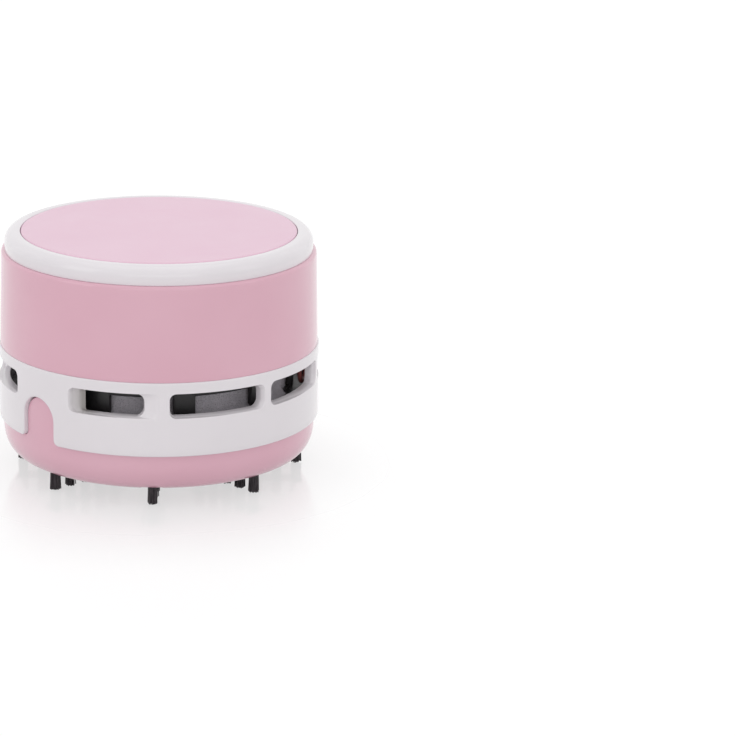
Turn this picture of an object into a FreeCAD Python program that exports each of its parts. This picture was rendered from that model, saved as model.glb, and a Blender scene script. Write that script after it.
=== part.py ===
import FreeCAD, Part
import math
import os

from FreeCAD import Vector

# Desktop mini vacuum cleaner: a round, hand-sized sweeper that runs on two AA cells.
# Millimetres. +Z is up, the front is -Y, and the origin is on the body's axis in the
# plane of the bristle tips. An azimuth is counted from the front towards +X.

# ---------------------------------------------------------------- driving dimensions

# Outer shape
body_radius = 42.8
bristle_reach = 5.0          # from the tray's underside down to the bristle tips
tray_side_height = 9.6       # from the tray's underside up to the vent band
band_height = 19.8
sleeve_height = 25.6
lid_height = 4.6
tray_step = 1.1              # how far the tray's side lies inside the band's
sleeve_step = 0.3            # how far the sleeve's lower edge lies inside the band's
sleeve_taper = 0.6           # how much the sleeve narrows towards its top

# Fits and gaps
shell_gap = 0.15             # between shells that push together
slide_gap = 0.35             # between the tray's spigot and the band
tab_gap = 0.25               # round a tab in its notch
pocket_gap = 0.2             # round a piece that drops into a pocket
rest_gap = 0.1               # under a piece that lies in its seat
shaft_gap = 0.05             # radial, round the motor shaft in its bearings
wheel_gap = 1.3              # between the impeller and what it turns next to
bite = 0.2                   # how far a feature runs into the piece that carries it

# Dust tray
tray_wall = 2.4
tray_floor = 2.0
tray_edge_round = 3.8
tray_inner_round = 1.5
shoulder_height = 2.0
spigot_wall = 1.6
spigot_height = 5.9

# Tabs of the tray, in notches of the band
tab_azimuth = -47.9
tab_count = 2
tab_width = 11.2
tab_height = 11.6
tab_thickness = 1.6
tab_flare = 1.6

# Suction inlet
inlet_radius = 8.8
inlet_wall = 1.6
inlet_height = 7.0
inlet_edge_round = 0.8

# Brushes
strip_count = 8
long_tuft_count = 5
short_tuft_count = 3
tuft_radius = 1.3
tuft_pitch = 5.2
tuft_inset = 4.8             # from the tray's side in to the outermost tuft's axis
tuft_root_depth = 2.8
recess_width = 5.4
recess_depth = 1.1
recess_margin = 0.4          # past the outermost tuft
pad_height = 2.5             # of the bar over each strip, inside the tray
pad_margin = 0.6
dimple_radius = 1.4
dimple_depth = 0.5
dimple_distance = 18.8       # from the axis

# Vent band
band_wall = 2.9
band_edge_round = 0.3
ledge_width = 2.5
ledge_thickness = 1.5
slot_low = 10.5              # above the band's lower edge
slot_height = 6.2
slot_spans = ((18.9, 42.1), (51.8, 86.8), (90.9, 123.9), (131.6, 167.6))  # from a tab
slot_corner = 1.8
slot_edge_round = 0.4

# Body sleeve
sleeve_wall = 2.2
sleeve_edge_round = 0.9

# Lid
lid_step = 0.9               # how far the lid's side lies inside the sleeve's top edge
lid_round = 2.7
lid_lip = 1.05
lid_plate = 1.4
lid_spigot_wall = 1.5
lid_spigot_height = 2.5
disc_thickness = 1.6
disc_rise = 0.1              # of the disc over the lid's lip
disc_edge_round = 0.3

# Motor deck and what it carries
deck_thickness = 2.5
motor_web = 1.0              # of the deck under the motor
motor_cup_wall = 1.3
motor_cup_height = 6.0       # above the deck
motor_diameter = 20.1
motor_flat_width = 15.4
motor_can_length = 20.1
motor_cap_length = 5.0
motor_boss_radius = 3.05
motor_boss_height = 0.8
shaft_radius = 1.0
shaft_below_web = 9.4
shaft_in_cap = 2.5
terminal_length = 3.0
terminal_width = 2.4
terminal_thickness = 0.4
terminal_drop = 2.6          # from the motor's top down to its terminals
strap_width = 5.0
strap_thickness = 0.5
strap_foot = 5.5

# Fan
vent_lane = 3.8              # between the cage and the band's bore
cage_wall = 1.5
cage_clearance = 1.4         # above the tray's spigot
cage_plate = 1.5
cage_window_count = 10
cage_window_angle = 26.8
cage_window_azimuth = -7.6
cage_window_height = 5.2
filter_thickness = 1.4
eye_radius = 13.0
wheel_side_gap = 2.1         # between the impeller's rim and the exhaust filter
wheel_plate = 1.2
blade_count = 9
blade_thickness = 1.2
blade_start = 11.0
blade_sweep = 28.0
hub_radius = 4.0

# Dust filter
frame_height = 3.4
frame_wall = 3.5
frame_lip = 1.0
frame_bar = 1.6
mesh_thickness = 0.5

# Batteries and their holder
cell_radius = 7.25
cell_length = 49.5
cell_nub_radius = 2.75
cell_nub_length = 1.0
cell_distance = 19.0         # from the motor's axis to a cell's axis
bay_gap = 0.35
bay_wall = 1.2
bay_spring_room = 4.0
bay_side_height = 9.0
bay_end_height = 13.0
holder_floor = 1.2
holder_margin = 0.7
contact_thickness = 0.5
contact_width = 9.0
contact_tail = 3.0
leaf_height = 7.0

# Switch
switch_width = 10.0
switch_depth = 6.5
switch_height = 10.0
switch_centre = 13.4         # above the sleeve's lower edge
switch_rib = 1.2
switch_set_back = 1.4        # from the sleeve's bore
knob_width = 8.0
knob_height = 5.0
knob_thickness = 0.8
knob_travel = 3.5
knob_gap = 0.15
knob_recess = 1.2
knob_ridge = 0.3
knob_ridge_count = 3
stem_width = 3.0
stem_height = 2.0
stem_depth = 3.0             # into the switch

# Screws
screw_radius = 1.0
screw_head_radius = 1.9
screw_head_height = 1.2
screw_grip = 2.0             # of a screw in the deck
screw_slot = 0.5

# Leads
lead_radius = 0.6
lead_notch_azimuth = 84.0
lead_notch_angle = 32.0

# ---------------------------------------------------------------- derived places

tray_z = bristle_reach
band_z = tray_z + tray_side_height
sleeve_z = band_z + band_height
lid_z = sleeve_z + sleeve_height
top_z = lid_z + lid_height

tray_radius = body_radius - tray_step
band_bore = body_radius - band_wall
spigot_radius = band_bore - slide_gap
spigot_bore = spigot_radius - spigot_wall
spigot_top = band_z + spigot_height
sleeve_radius = body_radius - sleeve_step
sleeve_top_radius = sleeve_radius - sleeve_taper
sleeve_top_bore = sleeve_top_radius - sleeve_wall
deck_z = sleeve_z
deck_top = deck_z + deck_thickness
deck_radius = sleeve_radius - sleeve_wall - 2 * shell_gap
recess_z = tray_z + recess_depth
pad_top = tray_z + tray_floor + pad_height
tuft_top = recess_z + tuft_root_depth
outer_tuft_radius = tray_radius - tuft_inset
recess_end = outer_tuft_radius + tuft_radius + recess_margin

lid_radius = sleeve_top_radius - lid_step
disc_radius = lid_radius - lid_round - lid_lip
disc_bottom = top_z - disc_thickness
lid_plate_z = disc_bottom - lid_plate
lid_spigot_radius = sleeve_top_bore - shell_gap

motor_z = deck_z + motor_web
motor_top = motor_z + motor_can_length + motor_cap_length
shaft_low = deck_z - shaft_below_web
shaft_high = motor_z + motor_can_length + shaft_in_cap
terminal_z = motor_top - terminal_drop

cage_radius = band_bore - vent_lane
wheel_radius = cage_radius - cage_wall - rest_gap - filter_thickness - wheel_side_gap
cage_z = spigot_top + cage_clearance
cage_floor = cage_z + cage_plate
frame_radius = spigot_bore - pocket_gap
frame_z = cage_z - frame_height
wheel_top = deck_z - wheel_gap
wheel_low = cage_floor + wheel_gap

holder_z = deck_top
cell_z = holder_z + holder_floor + bay_gap + cell_radius
holder_radius = sleeve_top_bore - holder_margin
bay_half_width = cell_radius + bay_gap
bay_half_length = (cell_length + cell_nub_length + bay_spring_room) / 2 + contact_thickness
bay_top = holder_z + holder_floor + bay_end_height

switch_z = sleeve_z + switch_centre
switch_back = sleeve_top_bore - switch_set_back
switch_front = switch_back - switch_depth
knob_floor = sleeve_radius - sleeve_taper / 2 - knob_recess

UP = Vector(0, 0, 1)
ORIGIN = Vector(0, 0, 0)


# ---------------------------------------------------------------- helpers

def box(low, high):
    """Box between two opposite corners."""
    size = Vector(*high) - Vector(*low)
    return Part.makeBox(size.x, size.y, size.z, Vector(*low))


def cylinder(radius, low, high, x=0.0, y=0.0):
    """Upright cylinder between two heights."""
    return Part.makeCylinder(radius, high - low, Vector(x, y, low))


def ring(outer, inner, low, high):
    """Upright tube about the body's axis."""
    return cylinder(outer, low, high).cut(cylinder(inner, low, high))


def turned(shape, azimuth):
    """Copy of a shape made at the front, turned about the body's axis."""
    copy = shape.copy()
    copy.rotate(ORIGIN, UP, azimuth)
    return copy


def around(shape, azimuths):
    """One shape per azimuth, made from one at the front."""
    return [turned(shape, azimuth) for azimuth in azimuths]


def evenly(count, first=0.0):
    """Azimuths of a count of places, evenly spaced round the body."""
    return [first + index * 360.0 / count for index in range(count)]


def revolved(points, angle=360.0):
    """Solid of revolution of a closed outline of (radius, height) points."""
    corners = [Vector(radius, 0, height) for radius, height in points]
    face = Part.Face(Part.makePolygon(corners + corners[:1]))
    return face.revolve(ORIGIN, UP, angle)


def sector(outer, inner, low, high, angle):
    """Part of a ring, centred on the front."""
    points = [(inner, low), (outer, low), (outer, high), (inner, high)]
    piece = revolved(points, angle)
    return turned(piece, -90.0 - angle / 2)


def circles(shape, radius, height):
    """Round edges of a shape, about the body's axis, of one radius and height."""
    found = []
    for edge in shape.Edges:
        if isinstance(edge.Curve, Part.Circle):
            centre = edge.Curve.Center
            off_axis = math.hypot(centre.x, centre.y)
            off_size = abs(edge.Curve.Radius - radius) + abs(centre.z - height)
            if off_axis + off_size < 1e-4:
                found.append(edge)
    return found


def fused(first, others):
    """One solid from pieces that meet."""
    return first.multiFuse(others).removeSplitter()


def save(name, *solids):
    """Write one node, as one solid or as a group of separate solids."""
    shape = solids[0] if len(solids) == 1 else Part.makeCompound(list(solids))
    shape.exportStep("parts/" + name + ".step")


# ---------------------------------------------------------------- dust tray

def arch(width, top, low, flare):
    """Face of a tab's outline in the XZ plane: an arch on two flared feet."""
    half = width / 2
    spring = top - half
    bend = flare * (1 - math.sqrt(0.5))
    foot = half + flare
    edges = []
    for side in (-1, 1):
        bottom = Vector(side * foot, 0, low)
        toe = Vector(side * foot, 0, band_z)
        middle = Vector(side * (half + bend), 0, band_z + bend)
        knee = Vector(side * half, 0, band_z + flare)
        edges.append(Part.LineSegment(bottom, toe).toShape())
        edges.append(Part.Arc(toe, middle, knee).toShape())
        edges.append(Part.LineSegment(knee, Vector(side * half, 0, spring)).toShape())
    crown = Part.Arc(Vector(-half, 0, spring), Vector(0, 0, top), Vector(half, 0, spring))
    edges.append(crown.toShape())
    edges.append(Part.LineSegment(Vector(-foot, 0, low), Vector(foot, 0, low)).toShape())
    return Part.Face(Part.Wire(Part.__sortEdges__(edges)))


def arch_prism(width, top, low, outer, inner):
    """The arch as a curved slab at the front, between two radii."""
    face = arch(width, top, low, tab_flare)
    face.translate(Vector(0, -body_radius - 1, 0))
    prism = face.extrude(Vector(0, body_radius - inner + tab_width, 0))
    return prism.common(ring(outer, inner, low - 1, top + 1))


def tray_shell():
    """Floor, side, shoulder and spigot of the tray."""
    shell = cylinder(tray_radius, tray_z, band_z)
    shell = shell.makeFillet(tray_edge_round, circles(shell, tray_radius, tray_z))
    bowl_radius = tray_radius - tray_wall
    bowl_z = tray_z + tray_floor
    bowl = cylinder(bowl_radius, bowl_z, band_z - shoulder_height)
    bowl = bowl.makeFillet(tray_inner_round, circles(bowl, bowl_radius, bowl_z))
    mouth = cylinder(spigot_bore, bowl_z + tray_inner_round, band_z)
    spigot = ring(spigot_radius, spigot_bore, band_z - shoulder_height, spigot_top)
    return shell.cut(bowl).cut(mouth).fuse(spigot)


def strip_tufts(index):
    """Number of tufts of a strip: long and short strips take turns."""
    return long_tuft_count if index % 2 == 0 else short_tuft_count


def strip_start(tufts):
    """Distance from the axis to a strip's innermost tuft."""
    return outer_tuft_radius - (tufts - 1) * tuft_pitch


def strip_bar(tufts, width, low, high, end):
    """Bar over a strip at the front, with a round inner end."""
    start = strip_start(tufts)
    bar = box((-width / 2, -end, low), (width / 2, -start, high))
    return bar.fuse(cylinder(width / 2, low, high, 0, -start))


def tuft_holes(tufts):
    """Blind holes for the roots of a strip's tufts."""
    holes = []
    for step in range(tufts):
        distance = strip_start(tufts) + step * tuft_pitch
        radius = tuft_radius + shaft_gap
        holes.append(cylinder(radius, tray_z, tuft_top + shaft_gap, 0, -distance))
    return holes


def dust_tray():
    """Tray that the body stands on: bowl, inlet tube, brush recesses and tabs."""
    inlet_top = tray_z + inlet_height
    additions = [cylinder(inlet_radius + inlet_wall, tray_z + bite, inlet_top)]
    cuts = []
    pad_width = recess_width + 2 * pad_margin
    pad_end = tray_radius - tray_wall / 2
    azimuths = evenly(strip_count, tab_azimuth)
    for index, azimuth in enumerate(azimuths):
        tufts = strip_tufts(index)
        pad = strip_bar(tufts, pad_width, tray_z + tray_floor / 2 + recess_depth, pad_top, pad_end)
        recess = strip_bar(tufts, recess_width, tray_z - 1, recess_z, recess_end)
        additions.append(turned(pad, azimuth))
        cuts.append(turned(recess, azimuth))
        cuts.extend(around(hole, [azimuth])[0] for hole in tuft_holes(tufts))
    tab = arch_prism(tab_width, band_z + tab_height, band_z - shoulder_height / 2,
                     tray_radius, tray_radius - tab_thickness)
    additions.extend(around(tab, evenly(tab_count, tab_azimuth)))
    tray = fused(tray_shell(), additions)
    bore = cylinder(inlet_radius, tray_z - 1, inlet_top + 1)
    ball = (dimple_radius ** 2 + dimple_depth ** 2) / (2 * dimple_depth)
    dimple = Part.makeSphere(ball, Vector(0, -dimple_distance, tray_z + dimple_depth - ball))
    short_strip = tab_azimuth - 360.0 / strip_count
    cuts.extend(around(dimple, [short_strip, short_strip + 180.0]))
    tray = tray.cut(bore)
    tray = tray.makeFillet(inlet_edge_round, circles(tray, inlet_radius, tray_z))
    return tray.cut(Part.makeCompound(cuts))


def brush_strip(index, azimuth):
    """Tufts of one strip, each a round bundle from its root to its tip."""
    tufts = strip_tufts(index)
    start = strip_start(tufts)
    pieces = [cylinder(tuft_radius, 0, tuft_top, 0, -start - step * tuft_pitch)
              for step in range(tufts)]
    return [turned(piece, azimuth) for piece in pieces]


# ---------------------------------------------------------------- outer shells

def slot_places():
    """Azimuth and angle of every vent slot: the same row of slots after each tab."""
    places = []
    for tab in evenly(tab_count, tab_azimuth):
        for start, end in slot_spans:
            places.append((tab + (start + end) / 2, end - start))
    return places


def vent_slot(angle):
    """Cutter for one vent slot at the front, with round corners."""
    low = band_z + slot_low
    cutter = sector(body_radius + 2, band_bore - 2, low, low + slot_height, angle)
    corners = [edge for edge in cutter.Edges
               if isinstance(edge.Curve, Part.Line) and abs(edge.tangentAt(0).z) < 0.5]
    return cutter.makeFillet(slot_corner, corners)


def slot_rims(band):
    """Outer edges of the vent slots in the band."""
    low = band_z + slot_low - bite
    high = band_z + slot_low + slot_height + bite
    rims = []
    for edge in band.Edges:
        bounds = edge.BoundBox
        point = edge.valueAt((edge.FirstParameter + edge.LastParameter) / 2)
        outside = abs(math.hypot(point.x, point.y) - body_radius) < bite / 100
        if outside and bounds.ZMin > low and bounds.ZMax < high:
            rims.append(edge)
    return rims


def vent_band():
    """White ring with the vent slots, the tabs' notches and the deck's ledge."""
    band = ring(body_radius, band_bore, band_z, sleeve_z)
    edges = circles(band, body_radius, band_z) + circles(band, body_radius, sleeve_z)
    band = band.makeFillet(band_edge_round, edges)
    ledge = ring(band_bore + band_wall / 2, band_bore - ledge_width,
                 sleeve_z - ledge_thickness, sleeve_z)
    lead_way = sector(band_bore, cage_radius, sleeve_z - ledge_thickness - 1, sleeve_z + 1,
                      lead_notch_angle)
    notch = arch_prism(tab_width + 2 * tab_gap, band_z + tab_height + tab_gap, band_z - 1,
                       body_radius + 2, band_bore - 1)
    cuts = [turned(vent_slot(angle), azimuth) for azimuth, angle in slot_places()]
    cuts += around(notch, evenly(tab_count, tab_azimuth))
    cuts.append(turned(lead_way, lead_notch_azimuth))
    band = band.fuse(ledge).removeSplitter().cut(Part.makeCompound(cuts))
    return band.makeFillet(slot_edge_round, slot_rims(band))


def knob_way(width, height, outer, inner):
    """Box at the back of the body, centred on the switch knob's travel."""
    low = (-width / 2, inner, switch_z - height / 2)
    high = (width / 2, outer, switch_z + height / 2)
    return box(low, high)


def body_sleeve():
    """Pink sleeve round the batteries, with the switch's window at the back."""
    sleeve = revolved([(sleeve_radius - sleeve_wall, sleeve_z), (sleeve_radius, sleeve_z),
                       (sleeve_top_radius, lid_z), (sleeve_top_bore, lid_z)])
    sleeve = sleeve.makeFillet(sleeve_edge_round, circles(sleeve, sleeve_top_radius, lid_z))
    recess_height = knob_height + knob_travel + 4 * knob_gap
    recess = knob_way(knob_width + 4 * knob_gap, recess_height, body_radius + 1, knob_floor)
    window_height = stem_height + knob_travel + 4 * knob_gap
    window = knob_way(stem_width + 4 * knob_gap, window_height, body_radius, switch_front)
    return sleeve.cut(recess).cut(window)


def top_ring():
    """White lid ring with its plate, and a spigot that fits the sleeve."""
    round_z = top_z - disc_rise - lid_round
    turn = lid_round * math.sqrt(0.5)
    middle = lid_radius - lid_round
    lip = top_z - disc_rise
    pocket = disc_radius + shell_gap
    low = lid_z - lid_spigot_height
    spigot_inner = lid_spigot_radius - lid_spigot_wall
    before = [(spigot_inner, low), (lid_spigot_radius, low), (lid_spigot_radius, lid_z),
              (lid_radius, lid_z), (lid_radius, round_z)]
    after = [(middle, lip), (pocket, lip), (pocket, disc_bottom), (0, disc_bottom),
             (0, lid_plate_z), (spigot_inner, lid_plate_z), (spigot_inner, low)]
    start = [Vector(radius, 0, height) for radius, height in before]
    finish = [Vector(radius, 0, height) for radius, height in after]
    crest = Part.Arc(start[-1], Vector(middle + turn, 0, round_z + turn), finish[0])
    wire = Part.Wire([Part.makePolygon(start), crest.toShape(), Part.makePolygon(finish)])
    return Part.Face(wire).revolve(ORIGIN, UP, 360)


def top_disc():
    """Pink disc that lies in the lid ring."""
    disc = cylinder(disc_radius, disc_bottom, top_z)
    return disc.makeFillet(disc_edge_round, circles(disc, disc_radius, top_z))


# ---------------------------------------------------------------- motor and deck

def motor_outline(low, high, gap=0.0):
    """Round prism with two flats, the shape of the motor."""
    half = motor_flat_width / 2 + gap
    reach = motor_diameter
    slab = box((-half, -reach, low), (half, reach, high))
    return cylinder(motor_diameter / 2 + gap, low, high).common(slab)


def strap_places():
    """Centres of the two strap screws, along Y from the motor's axis."""
    distance = motor_diameter / 2 + pocket_gap + motor_cup_wall + strap_foot / 2 + strap_thickness
    return [-distance, distance]


def holder_places():
    """Centres of the holder's screws, outside the battery bays."""
    x = cell_distance + bay_half_width + bay_wall + 2 * screw_head_radius
    y = cell_radius + screw_head_radius
    return [(x, y), (-x, y), (x, -y), (-x, -y)]


def motor_deck():
    """Black deck across the body, with the motor's cup and the switch's two ribs."""
    deck = cylinder(deck_radius, deck_z, deck_top)
    cup_top = deck_top + motor_cup_height
    cup = motor_outline(deck_top - bite, cup_top, pocket_gap + motor_cup_wall)
    rib_x = switch_width / 2 + pocket_gap
    ribs = [box((min(side * rib_x, side * (rib_x + switch_rib)), switch_front, deck_z + 1),
                (max(side * rib_x, side * (rib_x + switch_rib)), switch_back,
                 switch_z + switch_height / 2)) for side in (-1, 1)]
    shelf = box((-rib_x, switch_front, deck_z + 1),
                (rib_x, switch_back, switch_z - switch_height / 2 - rest_gap))
    deck = fused(deck, [cup, shelf] + ribs)
    notch = sector(deck_radius + 1, cage_radius, deck_z - 1, deck_top + 1, lead_notch_angle)
    cuts = [motor_outline(motor_z, cup_top + 1, pocket_gap),
            cylinder(motor_boss_radius + pocket_gap, deck_z - 1, motor_z + 1),
            turned(notch, lead_notch_azimuth)]
    way_half = strap_width / 2 + pocket_gap
    cup_reach = motor_diameter / 2 + pocket_gap + motor_cup_wall + 1
    cuts.append(box((-way_half, -cup_reach, deck_top), (way_half, cup_reach, cup_top + 1)))
    for y in strap_places():
        cuts.append(cylinder(screw_radius, deck_top - screw_grip - rest_gap, deck_top + 1, 0, y))
    for x, y in holder_places():
        cuts.append(cylinder(screw_radius, deck_top - screw_grip - rest_gap, deck_top + 1, x, y))
    return deck.cut(Part.makeCompound(cuts))


def motor_can():
    """Steel can with its front bearing boss, bored for the shaft."""
    can_top = motor_z + motor_can_length
    can = motor_outline(motor_z, can_top)
    boss = cylinder(motor_boss_radius, motor_z - motor_boss_height, motor_z + 1)
    bore = cylinder(shaft_radius + shaft_gap, motor_z - motor_boss_height - 1, can_top + 1)
    return fused(can, [boss]).cut(bore)


def motor_end_cap():
    """Plastic end cap that closes the can and carries the terminals."""
    low = motor_z + motor_can_length
    cap = motor_outline(low, motor_top)
    bore = cylinder(shaft_radius + shaft_gap, low - 1, shaft_high + rest_gap)
    return cap.cut(bore)


def motor_terminals():
    """Two solder tags on the flat sides of the end cap."""
    start = motor_flat_width / 2
    half = terminal_width / 2
    low = terminal_z - terminal_thickness / 2
    return [box((min(side * start, side * (start + terminal_length)), -half, low),
                (max(side * start, side * (start + terminal_length)), half,
                 low + terminal_thickness)) for side in (-1, 1)]


def motor_strap():
    """Sheet-metal strap over the motor, screwed to the deck on both sides."""
    half = strap_width / 2
    leg = motor_diameter / 2 + pocket_gap
    top = motor_top + strap_thickness
    strap = box((-half, -leg - strap_thickness, motor_top), (half, leg + strap_thickness, top))
    pieces = []
    for side in (-1, 1):
        inner = side * leg
        outer = side * (leg + strap_thickness)
        foot = side * (leg + motor_cup_wall + 2 * strap_thickness + strap_foot)
        pieces.append(box((-half, min(inner, outer), deck_top), (half, max(inner, outer), top)))
        pieces.append(box((-half, min(inner, foot), deck_top),
                          (half, max(inner, foot), deck_top + strap_thickness)))
    strap = fused(strap, pieces)
    for y in strap_places():
        strap = strap.cut(cylinder(screw_radius, deck_top - 1, deck_top + 1, 0, y))
    return strap


def screw(x, y, seat):
    """Slotted pan-head screw that stands in its seat."""
    shank = cylinder(screw_radius, deck_top - screw_grip, seat + bite, x, y)
    head = cylinder(screw_head_radius, seat, seat + screw_head_height, x, y)
    slot = box((x - screw_head_radius - 1, y - screw_slot / 2, seat + screw_head_height / 2),
               (x + screw_head_radius + 1, y + screw_slot / 2, seat + screw_head_height + 1))
    return fused(head, [shank]).cut(slot)


def motor_shaft():
    """Shaft from the impeller up through the motor."""
    return cylinder(shaft_radius, shaft_low, shaft_high)


# ---------------------------------------------------------------- fan and filters

def fan_cage():
    """Black cage: a plate with the fan's eye, and a wall with windows but for one."""
    wall = ring(cage_radius, cage_radius - cage_wall, cage_z, deck_z)
    plate = ring(band_bore - shell_gap, eye_radius, cage_z, cage_floor)
    window = sector(cage_radius + 1, cage_radius - cage_wall - 1, cage_floor,
                    cage_floor + cage_window_height, cage_window_angle)
    windows = around(window, evenly(cage_window_count, cage_window_azimuth)[:-1])
    return fused(plate, [wall]).cut(Part.makeCompound(windows))


def exhaust_filter():
    """Grey foam ring inside the cage, behind its windows."""
    outer = cage_radius - cage_wall - rest_gap
    return ring(outer, outer - filter_thickness, cage_floor + rest_gap, deck_z - rest_gap)


def blade():
    """One impeller blade at the front, swept back from hub to rim."""
    high = wheel_top - wheel_plate + bite
    end = wheel_radius / math.cos(math.radians(blade_sweep)) + wheel_radius
    bar = box((-blade_thickness / 2, -end, wheel_low), (blade_thickness / 2, 0, high))
    bar.rotate(Vector(0, -blade_start, 0), UP, blade_sweep)
    return bar.common(ring(wheel_radius, blade_start, wheel_low, high))


def impeller():
    """Black centrifugal fan wheel on the motor shaft."""
    plate = cylinder(wheel_radius, wheel_top - wheel_plate, wheel_top)
    hub = cylinder(hub_radius, shaft_low, wheel_top)
    wheel = fused(plate, [hub] + around(blade(), evenly(blade_count)))
    return wheel.cut(cylinder(shaft_radius, shaft_low - 1, wheel_top + 1))


def filter_frame():
    """Round frame of the dust filter, with a lip and a cross under the mesh."""
    bore = frame_radius - frame_wall
    frame = ring(frame_radius, bore, frame_z, cage_z)
    lip = ring(bore + bite, bore - frame_lip, frame_z, frame_z + frame_lip)
    half = frame_bar / 2
    reach = bore + bite
    bars = [box((-reach, -half, frame_z), (reach, half, frame_z + frame_lip)),
            box((-half, -reach, frame_z), (half, reach, frame_z + frame_lip))]
    return fused(frame, [lip] + bars)


def filter_mesh():
    """Fine mesh disc that lies on the frame's lip and cross."""
    radius = frame_radius - frame_wall - rest_gap
    return cylinder(radius, frame_z + frame_lip, frame_z + frame_lip + mesh_thickness)


# ---------------------------------------------------------------- batteries

def battery_holder():
    """Plate on the deck with a bay for a cell on each side of the motor."""
    floor_top = holder_z + holder_floor
    plate = cylinder(holder_radius, holder_z, floor_top)
    outer_x = bay_half_width + bay_wall
    outer_y = bay_half_length + bay_wall
    pieces = []
    for side in (-1, 1):
        x = side * cell_distance
        low_walls = box((x - outer_x, -outer_y, holder_z),
                        (x + outer_x, outer_y, floor_top + bay_side_height))
        end_walls = box((x - contact_width / 2 - bay_wall, -outer_y, holder_z),
                        (x + contact_width / 2 + bay_wall, outer_y, bay_top))
        hollow = box((x - bay_half_width, -bay_half_length, floor_top),
                     (x + bay_half_width, bay_half_length, bay_top + 1))
        pieces.append(low_walls.fuse(end_walls).cut(hollow))
    holder = fused(plate, pieces)
    holder = holder.common(cylinder(holder_radius, holder_z, bay_top + 1))
    motor_y = strap_places()[1] + strap_foot
    motor_x = cell_distance - outer_x - bay_gap
    switch_x = switch_width / 2 + pocket_gap + switch_rib + pocket_gap
    cuts = [box((-motor_x, -motor_y, holder_z - 1), (motor_x, motor_y, bay_top + 1)),
            box((-switch_x, switch_front - pocket_gap, holder_z - 1),
                (switch_x, holder_radius + 1, floor_top + 1)),
            turned(sector(holder_radius + 1, cage_radius - 1, holder_z - 1, floor_top + 1,
                          lead_notch_angle), lead_notch_azimuth)]
    for x, y in holder_places():
        cuts.append(cylinder(screw_radius, holder_z - 1, floor_top + 1, x, y))
    return holder.cut(Part.makeCompound(cuts))


def cell_turn(side):
    """Which way a cell's plus pole points along Y: the two cells lie head to tail."""
    return side


def battery(side):
    """One AA cell with its plus nub, against the plate contact at its plus end."""
    way = cell_turn(side)
    x = side * cell_distance
    plus_end = way * (bay_half_length - contact_thickness)
    nub = Part.makeCylinder(cell_nub_radius, cell_nub_length + bite,
                            Vector(x, plus_end, cell_z), Vector(0, -way, 0))
    can_end = Vector(x, plus_end - way * cell_nub_length, cell_z)
    can = Part.makeCylinder(cell_radius, cell_length, can_end, Vector(0, -way, 0))
    can = can.makeFillet(0.6, [edge for edge in can.Edges if isinstance(edge.Curve, Part.Circle)])
    return fused(can, [nub])


def contact_plate(x, way, top):
    """Flat contact against one end wall of a bay."""
    face = way * bay_half_length
    inner = face - way * contact_thickness
    half = contact_width / 2
    return box((x - half, min(face, inner), cell_z - cell_nub_radius - 1),
               (x + half, max(face, inner), top))


def contact_leaf(x, way):
    """Sprung leaf that stands out from a minus contact to meet the cell's flat end."""
    face = way * (bay_half_length - contact_thickness)
    tip = face - way * (bay_spring_room - rest_gap)
    half = leaf_height / 2
    points = [Vector(x, face, cell_z - half), Vector(x, tip, cell_z),
              Vector(x, face, cell_z + half),
              Vector(x, face, cell_z + half - 2 * contact_thickness),
              Vector(x, tip + way * contact_thickness * 1.4, cell_z),
              Vector(x, face, cell_z - half + 2 * contact_thickness)]
    outline = Part.Face(Part.makePolygon(points + points[:1]))
    outline.translate(Vector(-contact_width / 4, 0, 0))
    return outline.extrude(Vector(contact_width / 2, 0, 0))


def positive_contact():
    """Plate contact at the right cell's plus end, with a solder tail."""
    return contact_plate(cell_distance, cell_turn(1), bay_top + contact_tail)


def negative_contact():
    """Leaf contact at the left cell's minus end, with a solder tail."""
    way = -cell_turn(-1)
    plate = contact_plate(-cell_distance, way, bay_top + contact_tail)
    return fused(plate, [contact_leaf(-cell_distance, way)])


def bridge_contact():
    """Strip that joins the two cells at the front: a leaf, a flat and a link."""
    way = -cell_turn(1)
    face = way * bay_half_length
    inner = face - way * contact_thickness
    link_low = bay_top + rest_gap
    link = box((-cell_distance, min(face, inner), link_low),
               (cell_distance, max(face, inner), link_low + contact_tail))
    plates = [contact_plate(side * cell_distance, way, link_low + contact_tail)
              for side in (-1, 1)]
    return fused(link, plates + [contact_leaf(cell_distance, way)])


# ---------------------------------------------------------------- switch

def switch_body():
    """Slide switch between the deck's ribs, open at the back for the stem."""
    half = switch_width / 2
    body = box((-half, switch_front, switch_z - switch_height / 2),
               (half, switch_back, switch_z + switch_height / 2))
    slot = knob_way(stem_width + 2 * knob_gap, stem_height + knob_travel + 2 * knob_gap,
                    switch_back + 1, switch_back - stem_depth - knob_gap)
    return body.cut(slot)


def switch_terminals():
    """Two solder tags on the switch's inner side."""
    half = terminal_width / 2
    spread = switch_width / 4
    return [box((x - half, switch_front - terminal_length, switch_z - terminal_thickness / 2),
                (x + half, switch_front, switch_z + terminal_thickness / 2))
            for x in (-spread, spread)]


def switch_knob():
    """Slide knob, drawn in its lower place, with ridges for the finger."""
    low = switch_z - knob_travel / 2
    seat = knob_floor + knob_gap
    face = seat + knob_thickness
    cap = box((-knob_width / 2, seat, low - knob_height / 2),
              (knob_width / 2, face, low + knob_height / 2))
    stem = box((-stem_width / 2, switch_back - stem_depth, low - stem_height / 2),
               (stem_width / 2, seat + bite, low + stem_height / 2))
    pitch = knob_height / (knob_ridge_count + 1)
    ridges = []
    for index in range(knob_ridge_count):
        z = low - knob_height / 2 + (index + 1) * pitch
        ridges.append(box((-knob_width / 2 + knob_ridge, face - bite, z - knob_ridge),
                          (knob_width / 2 - knob_ridge, face + knob_ridge, z + knob_ridge)))
    return fused(cap, [stem] + ridges)


# ---------------------------------------------------------------- leads

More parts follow.
